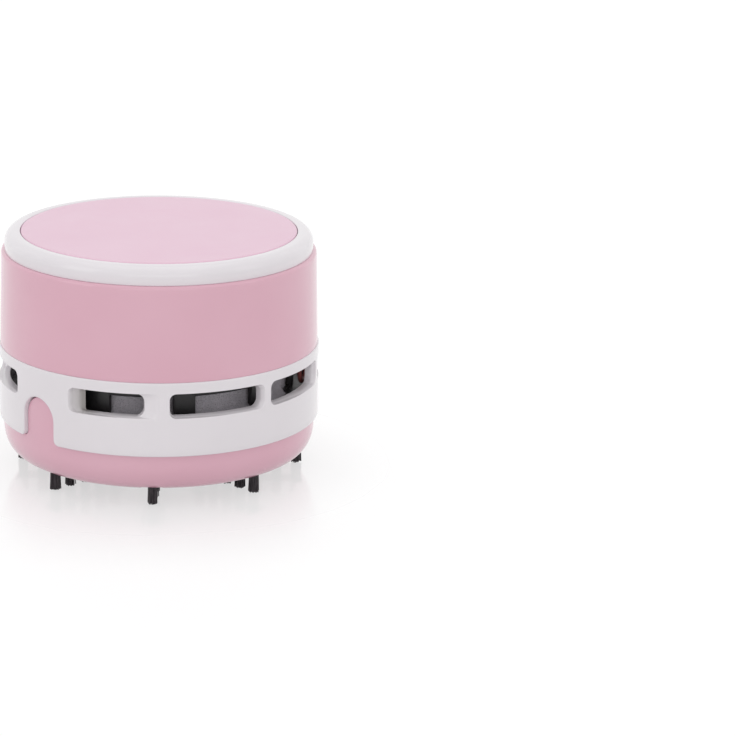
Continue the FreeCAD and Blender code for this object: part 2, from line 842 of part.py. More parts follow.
def lead(points):
    """Insulated lead along straight runs joined by tangent arcs."""
    places = [Vector(*point) for point in points]
    edges = []
    start = places[0]
    for before, corner, after in zip(places, places[1:], places[2:]):
        run_in = corner - before
        run_out = after - corner
        reach = 0.45 * min(run_in.Length, run_out.Length)
        first = corner - run_in.normalize() * reach
        last = corner + run_out.normalize() * reach
        turn = math.acos(max(-1.0, min(1.0, run_in.dot(run_out))))
        radius = reach / math.tan(turn / 2)
        bisector = (first + last) * 0.5 - corner
        centre_distance = math.hypot(radius, reach)
        middle = corner + bisector.normalize() * (centre_distance - radius)
        edges.append(Part.LineSegment(start, first).toShape())
        edges.append(Part.Arc(first, middle, last).toShape())
        start = last
        print("lead bend radius", round(radius, 1))
    edges.append(Part.LineSegment(start, places[-1]).toShape())
    path = Part.Wire(edges)
    heading = places[1] - places[0]
    circle = Part.Circle(places[0], heading, lead_radius)
    profile = Part.Wire(circle.toShape())
    tube = path.makePipeShell([profile], True, False)
    ideal = math.pi * lead_radius ** 2 * path.Length
    print("lead length", round(path.Length, 1), "volume ratio", round(tube.Volume / ideal, 4))
    return tube


def at(azimuth, radius, height):
    """Point at an azimuth from the front, a distance from the axis and a height."""
    angle = math.radians(azimuth)
    return (radius * math.sin(angle), -radius * math.cos(angle), height)


def red_lead():
    """From the plus contact, down through the deck's notch and up to the motor."""
    way = cell_turn(1)
    tail_z = bay_top + contact_tail / 2
    side = cell_distance + contact_width / 2
    contact = (side, way * (bay_half_length - contact_thickness / 2), tail_z)
    lane = (cage_radius + band_bore) / 2
    outside = band_bore - lead_radius - pocket_gap
    low = cage_floor + lead_radius + rest_gap
    tag = motor_flat_width / 2 + terminal_length
    points = [contact,
              (side + 4.5, way * (bay_half_length - 2.0), tail_z),
              (side + 8.0, way * (bay_half_length - 8.0), tail_z - 3.0),
              (side + 10.5, way * (bay_half_length - 15.0), tail_z - 6.5),
              at(100.0, lane - 0.6, deck_top + 6.0),
              at(94.5, lane, deck_z - 1.0),
              at(88.5, outside, low + 4.6),
              at(87.0, outside, low),
              at(78.5, lane + 0.4, low),
              at(77.0, lane + 0.2, low + 4.6),
              at(72.5, lane, deck_z - 1.0),
              at(69.0, lane - 1.5, deck_top + 6.0),
              at(68.0, lane - 4.0, deck_top + 14.0),
              (27.0, -8.0, terminal_z - 1.5),
              (18.0, -2.5, terminal_z),
              (tag, 0.0, terminal_z)]
    return lead(points)


def black_lead():
    """From the minus contact to the switch."""
    way = -cell_turn(-1)
    tail_z = bay_top + contact_tail / 2
    side = -cell_distance + contact_width / 2
    tag_x = -switch_width / 4 - terminal_width / 2
    tag_y = switch_front - terminal_length / 2
    points = [(side, way * (bay_half_length - contact_thickness / 2), tail_z),
              (side + 3.0, tag_y - 2.1, tail_z - 0.9),
              (side + 7.4, tag_y - 0.6, switch_z + 1.0),
              (tag_x, tag_y, switch_z)]
    return lead(points)


def switch_lead():
    """From the switch to the motor's left tag."""
    tag_y = switch_front - terminal_length
    tag_x = -motor_flat_width / 2 - terminal_length
    points = [(switch_width / 4, tag_y, switch_z),
              (switch_width / 4, tag_y - 4.5, switch_z + 0.5),
              (switch_width / 4 - 3.0, tag_y - 9.0, switch_z + 3.5),
              (-5.0, tag_y - 12.5, switch_z + 7.5),
              (tag_x - 3.5, tag_y - 19.0, terminal_z - 0.8),
              (tag_x - 5.0, tag_y - 25.0, terminal_z),
              (tag_x, 0.0, terminal_z)]
    return lead(points)


# ---------------------------------------------------------------- write every node

os.makedirs("parts", exist_ok=True)

save("dust_tray", dust_tray())
for number, strip_azimuth in enumerate(evenly(strip_count, tab_azimuth)):
    kind = "long" if strip_tufts(number) == long_tuft_count else "short"
    save(kind + "_brush_" + str(number // 2 + 1), *brush_strip(number, strip_azimuth))

save("vent_band", vent_band())
save("body_sleeve", body_sleeve())
save("top_ring", top_ring())
save("top_disc", top_disc())
save("motor_deck", motor_deck())
save("motor_can", motor_can())
save("motor_end_cap", motor_end_cap())
save("motor_terminals", *motor_terminals())
save("motor_strap", motor_strap())
save("strap_screws", *[screw(0, y, deck_top + strap_thickness) for y in strap_places()])
save("holder_screws", *[screw(x, y, deck_top + holder_floor) for x, y in holder_places()])
save("motor_shaft", motor_shaft())
save("impeller", impeller())
save("fan_cage", fan_cage())
save("exhaust_filter", exhaust_filter())
save("filter_frame", filter_frame())
save("filter_mesh", filter_mesh())
save("battery_holder", battery_holder())
save("battery_left", battery(-1))
save("battery_right", battery(1))
save("positive_contact", positive_contact())
save("negative_contact", negative_contact())
save("bridge_contact", bridge_contact())
save("switch_body", switch_body())
save("switch_terminals", *switch_terminals())
save("switch_knob", switch_knob())
save("red_lead", red_lead())
save("black_lead", black_lead())
save("switch_lead", switch_lead())
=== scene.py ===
import math

import bmesh
import bpy
from mathutils import Matrix, Vector, noise

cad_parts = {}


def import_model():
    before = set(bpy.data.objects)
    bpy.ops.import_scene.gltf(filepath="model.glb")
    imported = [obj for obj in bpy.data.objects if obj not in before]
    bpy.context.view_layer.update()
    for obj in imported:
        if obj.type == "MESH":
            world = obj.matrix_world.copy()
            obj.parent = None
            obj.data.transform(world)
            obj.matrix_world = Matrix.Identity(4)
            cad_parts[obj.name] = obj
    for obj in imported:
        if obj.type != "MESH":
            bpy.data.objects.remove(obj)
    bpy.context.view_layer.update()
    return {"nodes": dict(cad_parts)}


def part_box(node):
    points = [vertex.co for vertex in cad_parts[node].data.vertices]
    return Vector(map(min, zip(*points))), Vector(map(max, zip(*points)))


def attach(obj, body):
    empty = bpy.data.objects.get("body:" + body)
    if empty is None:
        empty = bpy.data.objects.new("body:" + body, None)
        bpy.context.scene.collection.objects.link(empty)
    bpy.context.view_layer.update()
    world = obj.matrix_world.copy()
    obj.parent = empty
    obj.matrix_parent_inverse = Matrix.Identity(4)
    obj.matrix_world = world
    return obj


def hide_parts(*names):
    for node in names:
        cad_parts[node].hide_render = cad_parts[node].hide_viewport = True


# A round desktop mini vacuum cleaner on a pale floor. Every length is in metres, +Z is up
# and the front is -Y. An azimuth is counted from the front towards +X.

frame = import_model()

# ---------------------------------------------------------------- sizes

MM = 0.001
TURN = 2 * math.pi


def span(node):
    """Lowest and highest z of a CAD node, and its reach along x."""
    low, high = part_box(node)
    return low.z, high.z, high.x


band_low, band_high, band_radius = span("vent_band")
band_wall = 2.9 * MM
band_bore = band_radius - band_wall
band_round = 0.3 * MM
inner_edge = 0.15 * MM
slot_low = band_low + 10.6 * MM
slot_height = 6.0 * MM
slot_flare = 0.3 * MM
ledge_bore = band_bore - 2.5 * MM
ledge_low = band_high - 1.5 * MM
ledge_overlap = 0.5 * MM
lead_gap = math.radians(16)
lead_azimuth = math.radians(84)

tray_box_low, tab_top, tray_radius = span("dust_tray")
tab_azimuth = math.radians(-47.9)
tab_reach = math.radians(10)
tab_half = 5.6 * MM
tab_gap = 0.25 * MM
tab_flare = 1.6 * MM
tab_thickness = 1.6 * MM
tab_edge = 0.3 * MM

sleeve_low, sleeve_box_high, _ = span("body_sleeve")
sleeve_high = sleeve_box_high - 0.35 * MM
sleeve_radius = band_radius - 0.3 * MM
sleeve_wall = 2.2 * MM
sleeve_taper = 0.6 * MM
sleeve_round = 0.9 * MM
recess_floor = 41.0 * MM
recess_half = (4.3 * MM, 4.55 * MM)
recess_corner = 0.8 * MM
window_half = (1.8 * MM, 3.05 * MM)
window_corner = 0.5 * MM
recess_centre = sleeve_low + 13.4 * MM

tray_low = tray_box_low - 0.5 * MM
tray_wall = 2.4 * MM
tray_floor = 2.0 * MM
tray_round = 4.9 * MM
tray_rise = 7.2 * MM
bowl_corner = 1.5 * MM
shoulder = 2.0 * MM
spigot_radius = 39.55 * MM
spigot_bore = 37.95 * MM
spigot_top = band_low + 5.9 * MM
inlet_radius = 8.8 * MM
inlet_wall = 1.6 * MM
inlet_round = 0.8 * MM
inlet_top = tray_low + 7.0 * MM
trough_depth = 1.1 * MM
trough_half = 2.7 * MM
pad_height = 2.5 * MM
pad_half = 3.3 * MM
outer_tuft = tray_radius - 4.8 * MM
tuft_pitch = 5.2 * MM
tuft_fibres = 104
trough_end = outer_tuft + 1.7 * MM
strip_azimuths = [tab_azimuth + index * TURN / 8 for index in range(8)]
strip_tufts = [5 if index % 2 == 0 else 3 for index in range(8)]
dimple_distance = 18.8 * MM
dimple_radius = 1.6 * MM
dimple_depth = 0.5 * MM

ring_low, ring_lip, _ = span("top_ring")
ring_round = 2.7 * MM
ring_plate = 1.4 * MM
ring_spigot_wall = 1.5 * MM
disc_low, disc_high, disc_box_radius = span("top_disc")
disc_radius = disc_box_radius - 0.6 * MM
disc_edge = 0.45 * MM

cage_low, cage_high, cage_plate_radius = span("fan_cage")
cage_radius = 36.1 * MM
cage_wall = 1.5 * MM
cage_plate = 1.5 * MM
cage_rim = cage_low + 0.5 * MM
cage_windows = 10
cage_first = math.radians(-7.6)
fan_eye = 13 * MM
window_reach = math.radians(26.8 / 2)
window_high = cage_low + 6.7 * MM
foam_wall = 1.4 * MM


# ---------------------------------------------------------------- camera

picture_size = 736
focal_pixels = 3158.0
camera_distance = 850 * MM
camera_elevation = math.radians(16.04)
aim_height = 32.4 * MM
aim_pixel = (159.4, 345.0)


def add_camera():
    """Camera that sees the body's axis at its place in the picture, without any shift."""
    data = bpy.data.cameras.new("camera")
    data.sensor_width = 36.0
    data.lens = data.sensor_width * focal_pixels / picture_size
    data.clip_start = 0.05
    camera = bpy.data.objects.new("camera", data)
    bpy.context.scene.collection.objects.link(camera)
    back = Vector((0, -math.cos(camera_elevation), math.sin(camera_elevation)))
    place = Vector((0, 0, aim_height)) + back * camera_distance
    look = (-back).to_track_quat("-Z", "Y").to_matrix()
    yaw, pitch = (math.atan2(picture_size / 2 - pixel, focal_pixels) for pixel in aim_pixel)
    pan = Matrix.Rotation(-yaw, 3, "Y") @ Matrix.Rotation(-pitch, 3, "X")
    camera.matrix_world = Matrix.Translation(place) @ (look @ pan).to_4x4()
    bpy.context.scene.camera = camera


add_camera()


# ---------------------------------------------------------------- mesh helpers

def spot(azimuth, radius, height):
    """Point at an azimuth from the front, a distance from the axis and a height."""
    return Vector((radius * math.sin(azimuth), -radius * math.cos(azimuth), height))


def spread(low, high, count):
    """Evenly spaced values with both ends."""
    return [low + (high - low) * index / (count - 1) for index in range(count)]


def between(low, high, share):
    """Point or pair part of the way from one to the other."""
    return tuple(a + (b - a) * share for a, b in zip(low, high))


def smoothstep(low, high, value):
    """0 below low, 1 above high, and smooth between."""
    share = min(1.0, max(0.0, (value - low) / (high - low)))
    return share * share * (3 - 2 * share)


def bend(centre, radius, start, end, count):
    """Points of an arc in the (radius, height) plane, angles in degrees."""
    angles = [math.radians(angle) for angle in spread(start, end, count)]
    return [(centre[0] + radius * math.cos(angle), centre[1] + radius * math.sin(angle))
            for angle in angles]


def quarter_round(size, steps):
    """(inset, depth) pairs from an outer face round to its edge."""
    return [(size * (1 - math.sin(angle)), size * (1 - math.cos(angle)))
            for angle in spread(0, math.pi / 2, steps)]


def edge_profile(size, wall, inner):
    """(inset, depth) pairs from an outer face over its round edge to the inner face."""
    return quarter_round(size, 4) + [
        (0, wall - inner), (inner * 0.3, wall - inner * 0.3), (inner, wall)]


def rim(outer, inner, top, drop, knee, inset):
    """Rounded top of a wall in the (radius, height) plane, from its outside to its inside."""
    return [(outer, top - drop), (outer - knee, top - knee), (outer - inset, top),
            (inner + inset, top), (inner + knee, top - knee), (inner, top - drop)]


class Builder:
    """Collects grids of points and turns them into one closed, smooth mesh."""

    def __init__(self):
        self.points, self.faces, self.slots = [], [], []

    def grid(self, rows, closed=False, slot=0):
        """Quads between rows of points, joined end to start where closed."""
        first = len(self.points)
        width = len(rows[0])
        for row in rows:
            self.points.extend(row)
        for line in range(len(rows) - 1):
            for column in range(width if closed else width - 1):
                after = (column + 1) % width
                low = first + line * width
                high = low + width
                self.faces.append((low + column, low + after, high + after, high + column))
                self.slots.append(slot)

    def piece(self, name, *materials, sharp=32, merge=2e-6):
        """The finished piece, at the origin, with its normals outwards."""
        mesh = bpy.data.meshes.new(name)
        mesh.from_pydata(self.points, [], self.faces)
        for material in materials:
            mesh.materials.append(material)
        mesh.polygons.foreach_set("material_index", self.slots)
        return finished(name, mesh, sharp, merge)


def finished(name, mesh, sharp=32, merge=2e-6):
    """Piece from a mesh whose doubles are merged and whose normals point outwards."""
    clean = bmesh.new()
    clean.from_mesh(mesh)
    bmesh.ops.remove_doubles(clean, verts=clean.verts, dist=merge)
    bmesh.ops.dissolve_degenerate(clean, edges=clean.edges, dist=merge / 4)
    bmesh.ops.recalc_face_normals(clean, faces=clean.faces)
    clean.to_mesh(mesh)
    clean.free()
    mesh.shade_smooth()
    mesh.set_sharp_from_angle(angle=math.radians(sharp))
    return placed(name, mesh)


def placed(name, data):
    """Object in the scene, at the origin."""
    piece = bpy.data.objects.new(name, data)
    bpy.context.scene.collection.objects.link(piece)
    return piece


def taken(piece):
    """Mesh of a piece that is only a share of another, whose object is taken away."""
    mesh = piece.data
    bpy.data.objects.remove(piece)
    return mesh


def joined(name, meshes):
    """One piece from several meshes of one material."""
    whole = bmesh.new()
    for mesh in meshes:
        whole.from_mesh(mesh)
    mesh = bpy.data.meshes.new(name)
    whole.to_mesh(mesh)
    whole.free()
    mesh.materials.append(meshes[0].materials[0])
    return finished(name, mesh)


def lathe(builder, profile, segments=300, start=0.0, turn=TURN):
    """Surface of revolution of a (radius, height) outline, closed unless it ends on the axis."""
    whole = turn > TURN - 0.001
    count = segments if whole else segments + 1
    azimuths = [start + turn * index / segments for index in range(count)]
    rows = [[spot(azimuth, radius, height) for azimuth in azimuths] for radius, height in profile]
    on_axis = profile[0][0] == 0 and profile[-1][0] == 0
    builder.grid(rows if on_axis else rows + rows[:1], closed=whole)


# ---------------------------------------------------------------- node helpers

def feed(tree, node, inputs=None, **named):
    """The node, with its inputs linked to sockets or set to values."""
    for key, value in {**(inputs or {}), **named}.items():
        socket = node.inputs[key.replace("_", " ") if isinstance(key, str) else key]
        if isinstance(value, bpy.types.NodeSocket):
            tree.links.new(value, socket)
        else:
            socket.default_value = value
    return node


def add(tree, kind, inputs=None, **settings):
    """New node with its settings and its inputs."""
    node = tree.nodes.new(kind)
    for key, value in settings.items():
        setattr(node, key, value)
    return feed(tree, node, inputs)


def socket_kind(value):
    """Kind of socket for a first value, or the one that a word names."""
    if isinstance(value, str):
        return "NodeSocket" + value
    if isinstance(value, tuple):
        return "NodeSocketColor" if len(value) == 4 else "NodeSocketVector"
    return "NodeSocketInt" if isinstance(value, int) else "NodeSocketFloat"


def new_tree(name, kind, inputs, outputs):
    """Node tree with named sockets, each given by its first value or its kind's name."""
    tree = bpy.data.node_groups.new(name, kind)
    for way, sockets in (("INPUT", inputs), ("OUTPUT", outputs)):
        for label, value in sockets.items():
            socket = tree.interface.new_socket(label, in_out=way,
                                               socket_type=socket_kind(value))
            if not isinstance(value, str):
                socket.default_value = value
    return tree, tree.nodes.new("NodeGroupInput").outputs, tree.nodes.new("NodeGroupOutput")


def calc(tree, operation, *values):
    """Output of a Math node."""
    return add(tree, "ShaderNodeMath", dict(enumerate(values)), operation=operation).outputs[0]


def vector_calc(tree, operation, *values):
    """Output of a Vector Math node."""
    node = add(tree, "ShaderNodeVectorMath", dict(enumerate(values)), operation=operation)
    return node.outputs["Value" if operation == "LENGTH" else "Vector"]


def combined(tree, **axes):
    """Vector of values for X, Y and Z."""
    return add(tree, "ShaderNodeCombineXYZ", axes).outputs[0]


def separated(tree, vector):
    """X, Y and Z of a vector."""
    return add(tree, "ShaderNodeSeparateXYZ", {0: vector}).outputs


def remap(tree, value, low, high, to_low=0.0, to_high=1.0, **settings):
    """Value moved from one range to another and kept inside it."""
    return add(tree, "ShaderNodeMapRange", {
        "Value": value, "From Min": low, "From Max": high, "To Min": to_low,
        "To Max": to_high}, **settings).outputs[0]


def blend(tree, share, first, second):
    """Colour part of the way from the first to the second."""
    return add(tree, "ShaderNodeMix", {"Factor": share, 6: first, 7: second},
               data_type="RGBA").outputs[2]


def own_place(tree):
    """Place in the piece's own space."""
    return add(tree, "ShaderNodeTexCoord").outputs["Object"]


def cloud(tree, scale, detail, place=None, **inputs):
    """Noise over a piece."""
    place = own_place(tree) if place is None else place
    return add(tree, "ShaderNodeTexNoise", {
        "Vector": place, "Scale": scale, "Detail": detail, **inputs}).outputs["Fac"]


def tone(red, green, blue):
    """Linear colour of an 8-bit sRGB one."""
    values = []
    for level in (red, green, blue):
        level /= 255
        values.append(level / 12.92 if level <= 0.04045 else ((level + 0.055) / 1.055) ** 2.4)
    return (*values, 1.0)


# ---------------------------------------------------------------- shared effects

SHADER = "ShaderNodeTree"
GREY = (0.5, 0.5, 0.5, 1.0)


def tone_drift_group():
    """Slow drift of a moulded part's colour, as thin and thick walls give it."""
    tree, wanted, end = new_tree("tone drift", SHADER, {
        "Colour": GREY, "Deep Colour": GREY, "Scale": 40.0, "Amount": 0.5},
        {"Colour": "Color"})
    share = remap(tree, cloud(tree, wanted["Scale"], 3.0, Roughness=0.45), 0.3, 0.7)
    share = calc(tree, "MULTIPLY", share, wanted["Amount"])
    feed(tree, end, Colour=blend(tree, share, wanted["Colour"], wanted["Deep Colour"]))
    return tree


def mould_grain_group():
    """Fine grain and faint ripple of a moulded surface, as a height."""
    tree, wanted, end = new_tree("mould grain", SHADER, {
        "Grain Scale": 6000.0, "Ripple Scale": 250.0, "Ripple": 0.5}, {"Height": "Float"})
    swell = calc(tree, "MULTIPLY", cloud(tree, wanted["Ripple Scale"], 1.0), wanted["Ripple"])
    grain = cloud(tree, wanted["Grain Scale"], 2.0)
    feed(tree, end, Height=calc(tree, "ADD", grain, swell))
    return tree


def handled_group():
    """Roughness that drifts where hands and cloths have polished or dulled the gloss."""
    tree, wanted, end = new_tree("handled gloss", SHADER, {
        "Roughness": 0.3, "Spread": 0.1, "Scale": 90.0}, {"Roughness": "Float"})
    smudge = remap(tree, cloud(tree, wanted["Scale"], 4.0, Roughness=0.6, Distortion=0.6),
                   0.35, 0.7, -0.5, 0.5)
    change = calc(tree, "MULTIPLY", smudge, wanted["Spread"])
    feed(tree, end, Roughness=calc(tree, "ADD", wanted["Roughness"], change))
    return tree


def settled_dust_group():
    """Fine pale dust in patches on what faces up."""
    tree, wanted, end = new_tree("settled dust", SHADER, {
        "Colour": GREY, "Dust": tone(196, 190, 186), "Amount": 0.2}, {"Colour": "Color"})
    upward = separated(tree, add(tree, "ShaderNodeNewGeometry").outputs["Normal"])["Z"]
    patches = remap(tree, cloud(tree, 1800.0, 5.0, Roughness=0.7), 0.45, 0.75)
    lying = calc(tree, "MULTIPLY", remap(tree, upward, 0.1, 1.0), patches)
    mask = calc(tree, "MULTIPLY", lying, wanted["Amount"])
    feed(tree, end, Colour=blend(tree, mask, wanted["Colour"], wanted["Dust"]))
    return tree


def drawn_metal_group():
    """Fine lines of drawn or brushed metal along one axis of the piece."""
    tree, wanted, end = new_tree("drawn metal", SHADER, {
        "Stretch": (1.0, 1.0, 0.02), "Scale": 5000.0, "Roughness": 0.3, "Spread": 0.15},
        {"Roughness": "Float", "Height": "Float"})
    drawn = vector_calc(tree, "MULTIPLY", own_place(tree), wanted["Stretch"])
    lines = cloud(tree, wanted["Scale"], 3.0, drawn)
    change = calc(tree, "MULTIPLY", calc(tree, "SUBTRACT", lines, 0.5), wanted["Spread"])
    feed(tree, end, Roughness=calc(tree, "ADD", wanted["Roughness"], change), Height=lines)
    return tree


def woven_group():
    """Plain weave of round threads in the XY plane, as a height and a thread mask."""
    tree, wanted, end = new_tree("plain weave", SHADER, {"Pitch": 0.6 * MM},
                                 {"Height": "Float", "Mask": "Float"})
    axes = separated(tree, own_place(tree))

    def wave(value, rate, size):
        swing = calc(tree, "COSINE", calc(tree, "MULTIPLY", value, rate))
        return calc(tree, "MULTIPLY", swing, size)

    threads = []
    for along, across, sign in (("X", "Y", 1.0), ("Y", "X", -1.0)):
        step, run = (calc(tree, "DIVIDE", axes[axis], wanted["Pitch"])
                     for axis in (across, along))
        over = wave(run, math.pi, wave(step, math.pi, 0.35 * sign))
        threads.append(calc(tree, "ADD", wave(step, TURN, 0.5), over))
    height = calc(tree, "MAXIMUM", *threads)
    feed(tree, end, Height=height, Mask=remap(tree, height, -0.25, 0.25))
    return tree


def foam_cells_group():
    """Open cells of foam: dark pores between light struts."""
    tree, wanted, end = new_tree("foam cells", SHADER, {"Scale": 2600.0},
                                 {"Height": "Float", "Pores": "Float"})
    cells = add(tree, "ShaderNodeTexVoronoi", {
        "Vector": own_place(tree), "Scale": wanted["Scale"]}, feature="DISTANCE_TO_EDGE")
    pores = remap(tree, cells.outputs["Distance"], 0.05, 0.3)
    feed(tree, end, Height=calc(tree, "SUBTRACT", 1.0, pores), Pores=pores)
    return tree


def scoop_shade_group():
    """Painted shade: a greyer tone down the scoops beside the tabs, standing in for the shade
    that falls in these recesses.
    """
    tree, wanted, end = new_tree("painted scoop shade", SHADER, {
        "Colour": GREY, "Shade": tone(150, 145, 141), "Amount": 0.92}, {"Colour": "Color"})
    place = own_place(tree)
    axes = separated(tree, place)
    azimuth = calc(tree, "ARCTAN2", axes["X"], calc(tree, "MULTIPLY", axes["Y"], -1.0))
    off_tab = calc(tree, "FLOORED_MODULO", calc(tree, "SUBTRACT", azimuth, tab_azimuth),
                   math.pi)
    radius = vector_calc(tree, "LENGTH", vector_calc(tree, "MULTIPLY", place, (1, 1, 0)))
    # Mask of the painted shade: deep in the wall and within the scoop's azimuths beside each tab.
    mask = wanted["Amount"]
    for value, low, high in ((radius, band_radius - 0.1 * MM, band_radius - 2.2 * MM),
                             (off_tab, math.radians(13.5), math.radians(15.0)),
                             (off_tab, math.radians(26.0), math.radians(19.6))):
        mask = calc(tree, "MULTIPLY", mask, remap(tree, value, low, high))
    # Painted shade: the colour is mixed towards the grey Shade colour by the mask.
    feed(tree, end, Colour=blend(tree, mask, wanted["Colour"], wanted["Shade"]))
    return tree


tone_drift = tone_drift_group()
mould_grain = mould_grain_group()
handled = handled_group()
settled_dust = settled_dust_group()
drawn_metal = drawn_metal_group()
plain_weave = woven_group()
foam_cells = foam_cells_group()
painted_scoop_shade = scoop_shade_group()


# ---------------------------------------------------------------- materials

def new_material(name, **values):
    """Material with one Principled shader, and the values that are the same all over it."""
    material = bpy.data.materials.new(name)
    material.use_nodes = True
    tree = material.node_tree
    return material, tree, feed(tree, tree.nodes["Principled BSDF"], **values)


def effect(tree, group, **inputs):
    """Outputs of a shared effect placed in a material."""
    return feed(tree, add(tree, "ShaderNodeGroup", node_tree=group), **inputs).outputs


def drifting(tree, colour, deep, scale, amount):
    """Colour that drifts towards a deeper one, both as 8-bit sRGB."""
    return effect(tree, tone_drift, Colour=tone(*colour), Deep_Colour=tone(*deep),
                  Scale=scale, Amount=amount)["Colour"]


def gloss(tree, rough, spread, scale):
    """Roughness that handling has made uneven."""
    return effect(tree, handled, Roughness=rough, Spread=spread, Scale=scale)["Roughness"]


def dress(tree, shader, colour, rough, height, relief=0.02 * MM, strength=0.3):
    """Colour, roughness and relief of a surface, on its shader."""
    bump = add(tree, "ShaderNodeBump", {
        "Height": height, "Distance": relief, "Strength": strength})
    feed(tree, shader, Base_Color=colour, Roughness=rough, Normal=bump.outputs["Normal"])


def moulded(name, colour, deep, rough, spread=0.08, grain=0.15, dust=0.0, shaded=False,
            **values):
    """Moulded plastic: drifting colour, handled gloss, fine grain, a little dust and, where
    shaded, painted shade in the band's scoops.
    """
    material, tree, shader = new_material(name, **values)
    paint = drifting(tree, colour, deep, 45.0, 0.6)
    paint = effect(tree, settled_dust, Colour=paint, Amount=dust)["Colour"]
    # Painted shade: the band's scoops get a greyer tone in place of the shade that falls in them.
    if shaded:
        paint = effect(tree, painted_scoop_shade, Colour=paint)["Colour"]
    skin = effect(tree, mould_grain, Grain_Scale=7000.0, Ripple_Scale=160.0, Ripple=0.6)
    dress(tree, shader, paint, gloss(tree, rough, spread, 70.0), skin["Height"],
          strength=grain)
    return material


def metal(name, colour, deep, rough, stretch=(1.0, 1.0, 0.03)):
    """Drawn or rolled metal with fine lines and a slightly uneven tarnish."""
    material, tree, shader = new_material(name, Metallic=1.0)
    lines = effect(tree, drawn_metal, Stretch=stretch, Roughness=rough, Spread=0.25)
    dress(tree, shader, drifting(tree, colour, deep, 160.0, 0.7), lines["Roughness"],
          lines["Height"], strength=0.25)
    return material


def bristle_material():
    """Black nylon filament, a little browner and duller in places."""
    material, tree, shader = new_material("bristle nylon", Specular_IOR_Level=0.45)
    lines = effect(tree, drawn_metal, Stretch=(1.0, 1.0, 0.05), Scale=9000.0)
    dress(tree, shader, drifting(tree, (34, 28, 32), (58, 50, 56), 900.0, 0.8),
          gloss(tree, 0.42, 0.2, 1500.0), lines["Height"])
    return material


def foam_material():
    """Grey filter foam with open cells, dustier in places."""
    material, tree, shader = new_material("filter foam", Specular_IOR_Level=0.2)
    body = drifting(tree, (190, 185, 192), (170, 165, 172), 220.0, 0.8)
    cells = effect(tree, foam_cells, Scale=2400.0)
    dress(tree, shader, blend(tree, cells["Pores"], body, tone(150, 146, 152)),
          gloss(tree, 0.85, 0.15, 300.0), cells["Height"], 0.12 * MM, 0.5)
    return material


def cloth_material():
    """White nylon filter cloth: round threads in a plain weave, greyer between them."""
    material, tree, shader = new_material("filter cloth", Sheen_Weight=0.2)
    weave = effect(tree, plain_weave, Pitch=0.7 * MM)
    body = drifting(tree, (226, 224, 226), (205, 201, 198), 90.0, 0.8)
    dress(tree, shader, blend(tree, weave["Mask"], tone(118, 114, 112), body),
          gloss(tree, 0.6, 0.15, 400.0), weave["Height"], 0.12 * MM, 0.8)
    return material


polished = {"spread": 0.05, "grain": 0.10, "Coat_Weight": 0.35, "Coat_Roughness": 0.04}
along_y, along_x, barely = (1.0, 0.04, 1.0), (0.04, 1.0, 1.0), (1.0, 1.0, 0.2)

pink = moulded("glossy pink plastic", (228, 179, 195), (224, 172, 189), 0.16, **polished)
pale_pink = moulded("satin pink plastic", (237, 200, 218), (234, 195, 214), 0.34,
                    grain=0.18, Specular_IOR_Level=0.45)
white = moulded("glossy white plastic", (236, 231, 235), (230, 225, 229), 0.16, **polished)
# The band's white carries painted shade in the scoops beside the tabs.
band_white = moulded("glossy white band plastic", (236, 231, 235), (230, 225, 229), 0.16,
                     shaded=True, **polished)
black = moulded("black fan plastic", (34, 31, 33), (24, 22, 24), 0.42, spread=0.16,
                grain=0.35, dust=0.10)
cap_plastic = moulded("white motor cap", (214, 210, 200), (202, 196, 184), 0.45, grain=0.4,
                      dust=0.1)
switch_plastic = moulded("black switch plastic", (38, 37, 40), (28, 27, 30), 0.38,
                         grain=0.35, dust=0.1)
knob_plastic = moulded("white knob plastic", (234, 229, 232), (226, 221, 225), 0.3, grain=0.3)
red_rubber = moulded("red lead insulation", (140, 76, 72), (122, 64, 62), 0.42, grain=0.25,
                     dust=0.12)
black_rubber = moulded("black lead insulation", (36, 34, 36), (26, 25, 27), 0.45, grain=0.25,
                       dust=0.15)
cell_wrap = moulded("dark cell wrap", (44, 50, 62), (38, 43, 54), 0.24, grain=0.12,
                    Coat_Weight=0.4, Coat_Roughness=0.1)
cell_band = moulded("copper cell band", (190, 120, 78), (176, 106, 66), 0.26, grain=0.12,
                    Metallic=0.6)
bristle = bristle_material()
foam = foam_material()
cloth = cloth_material()
motor_steel = metal("plated motor steel", (196, 196, 194), (172, 170, 166), 0.28)
strap_steel = metal("spring strap steel", (176, 178, 182), (150, 152, 156), 0.34, along_y)
screw_steel = metal("zinc screw steel", (205, 203, 196), (178, 172, 160), 0.36, barely)
shaft_steel = metal("ground shaft steel", (208, 208, 208), (190, 190, 190), 0.18)
contact_metal = metal("nickel contact strip", (202, 198, 188), (176, 170, 158), 0.3, along_x)
terminal_brass = metal("tinned brass tag", (214, 186, 120), (190, 158, 96), 0.34, barely)
cell_metal = metal("plated cell end", (210, 208, 202), (190, 186, 178), 0.24)


# ---------------------------------------------------------------- curved walls with holes

LONG_STEPS = 40
SHORT_STEPS = 8
CORNER_STEPS = 4
LONG_SIDE = LONG_STEPS + 2 * CORNER_STEPS
SHORT_SIDE = SHORT_STEPS + 2 * CORNER_STEPS


def outline(half_s, half_z, corner_s, corner_z):
    """Rectangle with elliptical corners, from its lower left corner round to the right."""
    signs = [(-1, -1), (1, -1), (1, 1), (-1, 1)]

    def corner(index, angle):
        sign = signs[index % 4]
        return (sign[0] * (half_s - corner_s) + corner_s * math.cos(math.radians(angle)),
                sign[1] * (half_z - corner_z) + corner_z * math.sin(math.radians(angle)))

    points = []
    for side in range(4):
        first = 225 + 90 * side
        arc = [first + 45 * step / CORNER_STEPS for step in range(CORNER_STEPS)]
        points += [corner(side, angle) for angle in arc]
        low, high = corner(side, first + 45), corner(side + 1, first + 45)
        steps = LONG_STEPS if side % 2 == 0 else SHORT_STEPS
        points += [between(low, high, step / steps) for step in range(steps)]
        points += [corner(side + 1, angle + 45) for angle in arc]
    return points


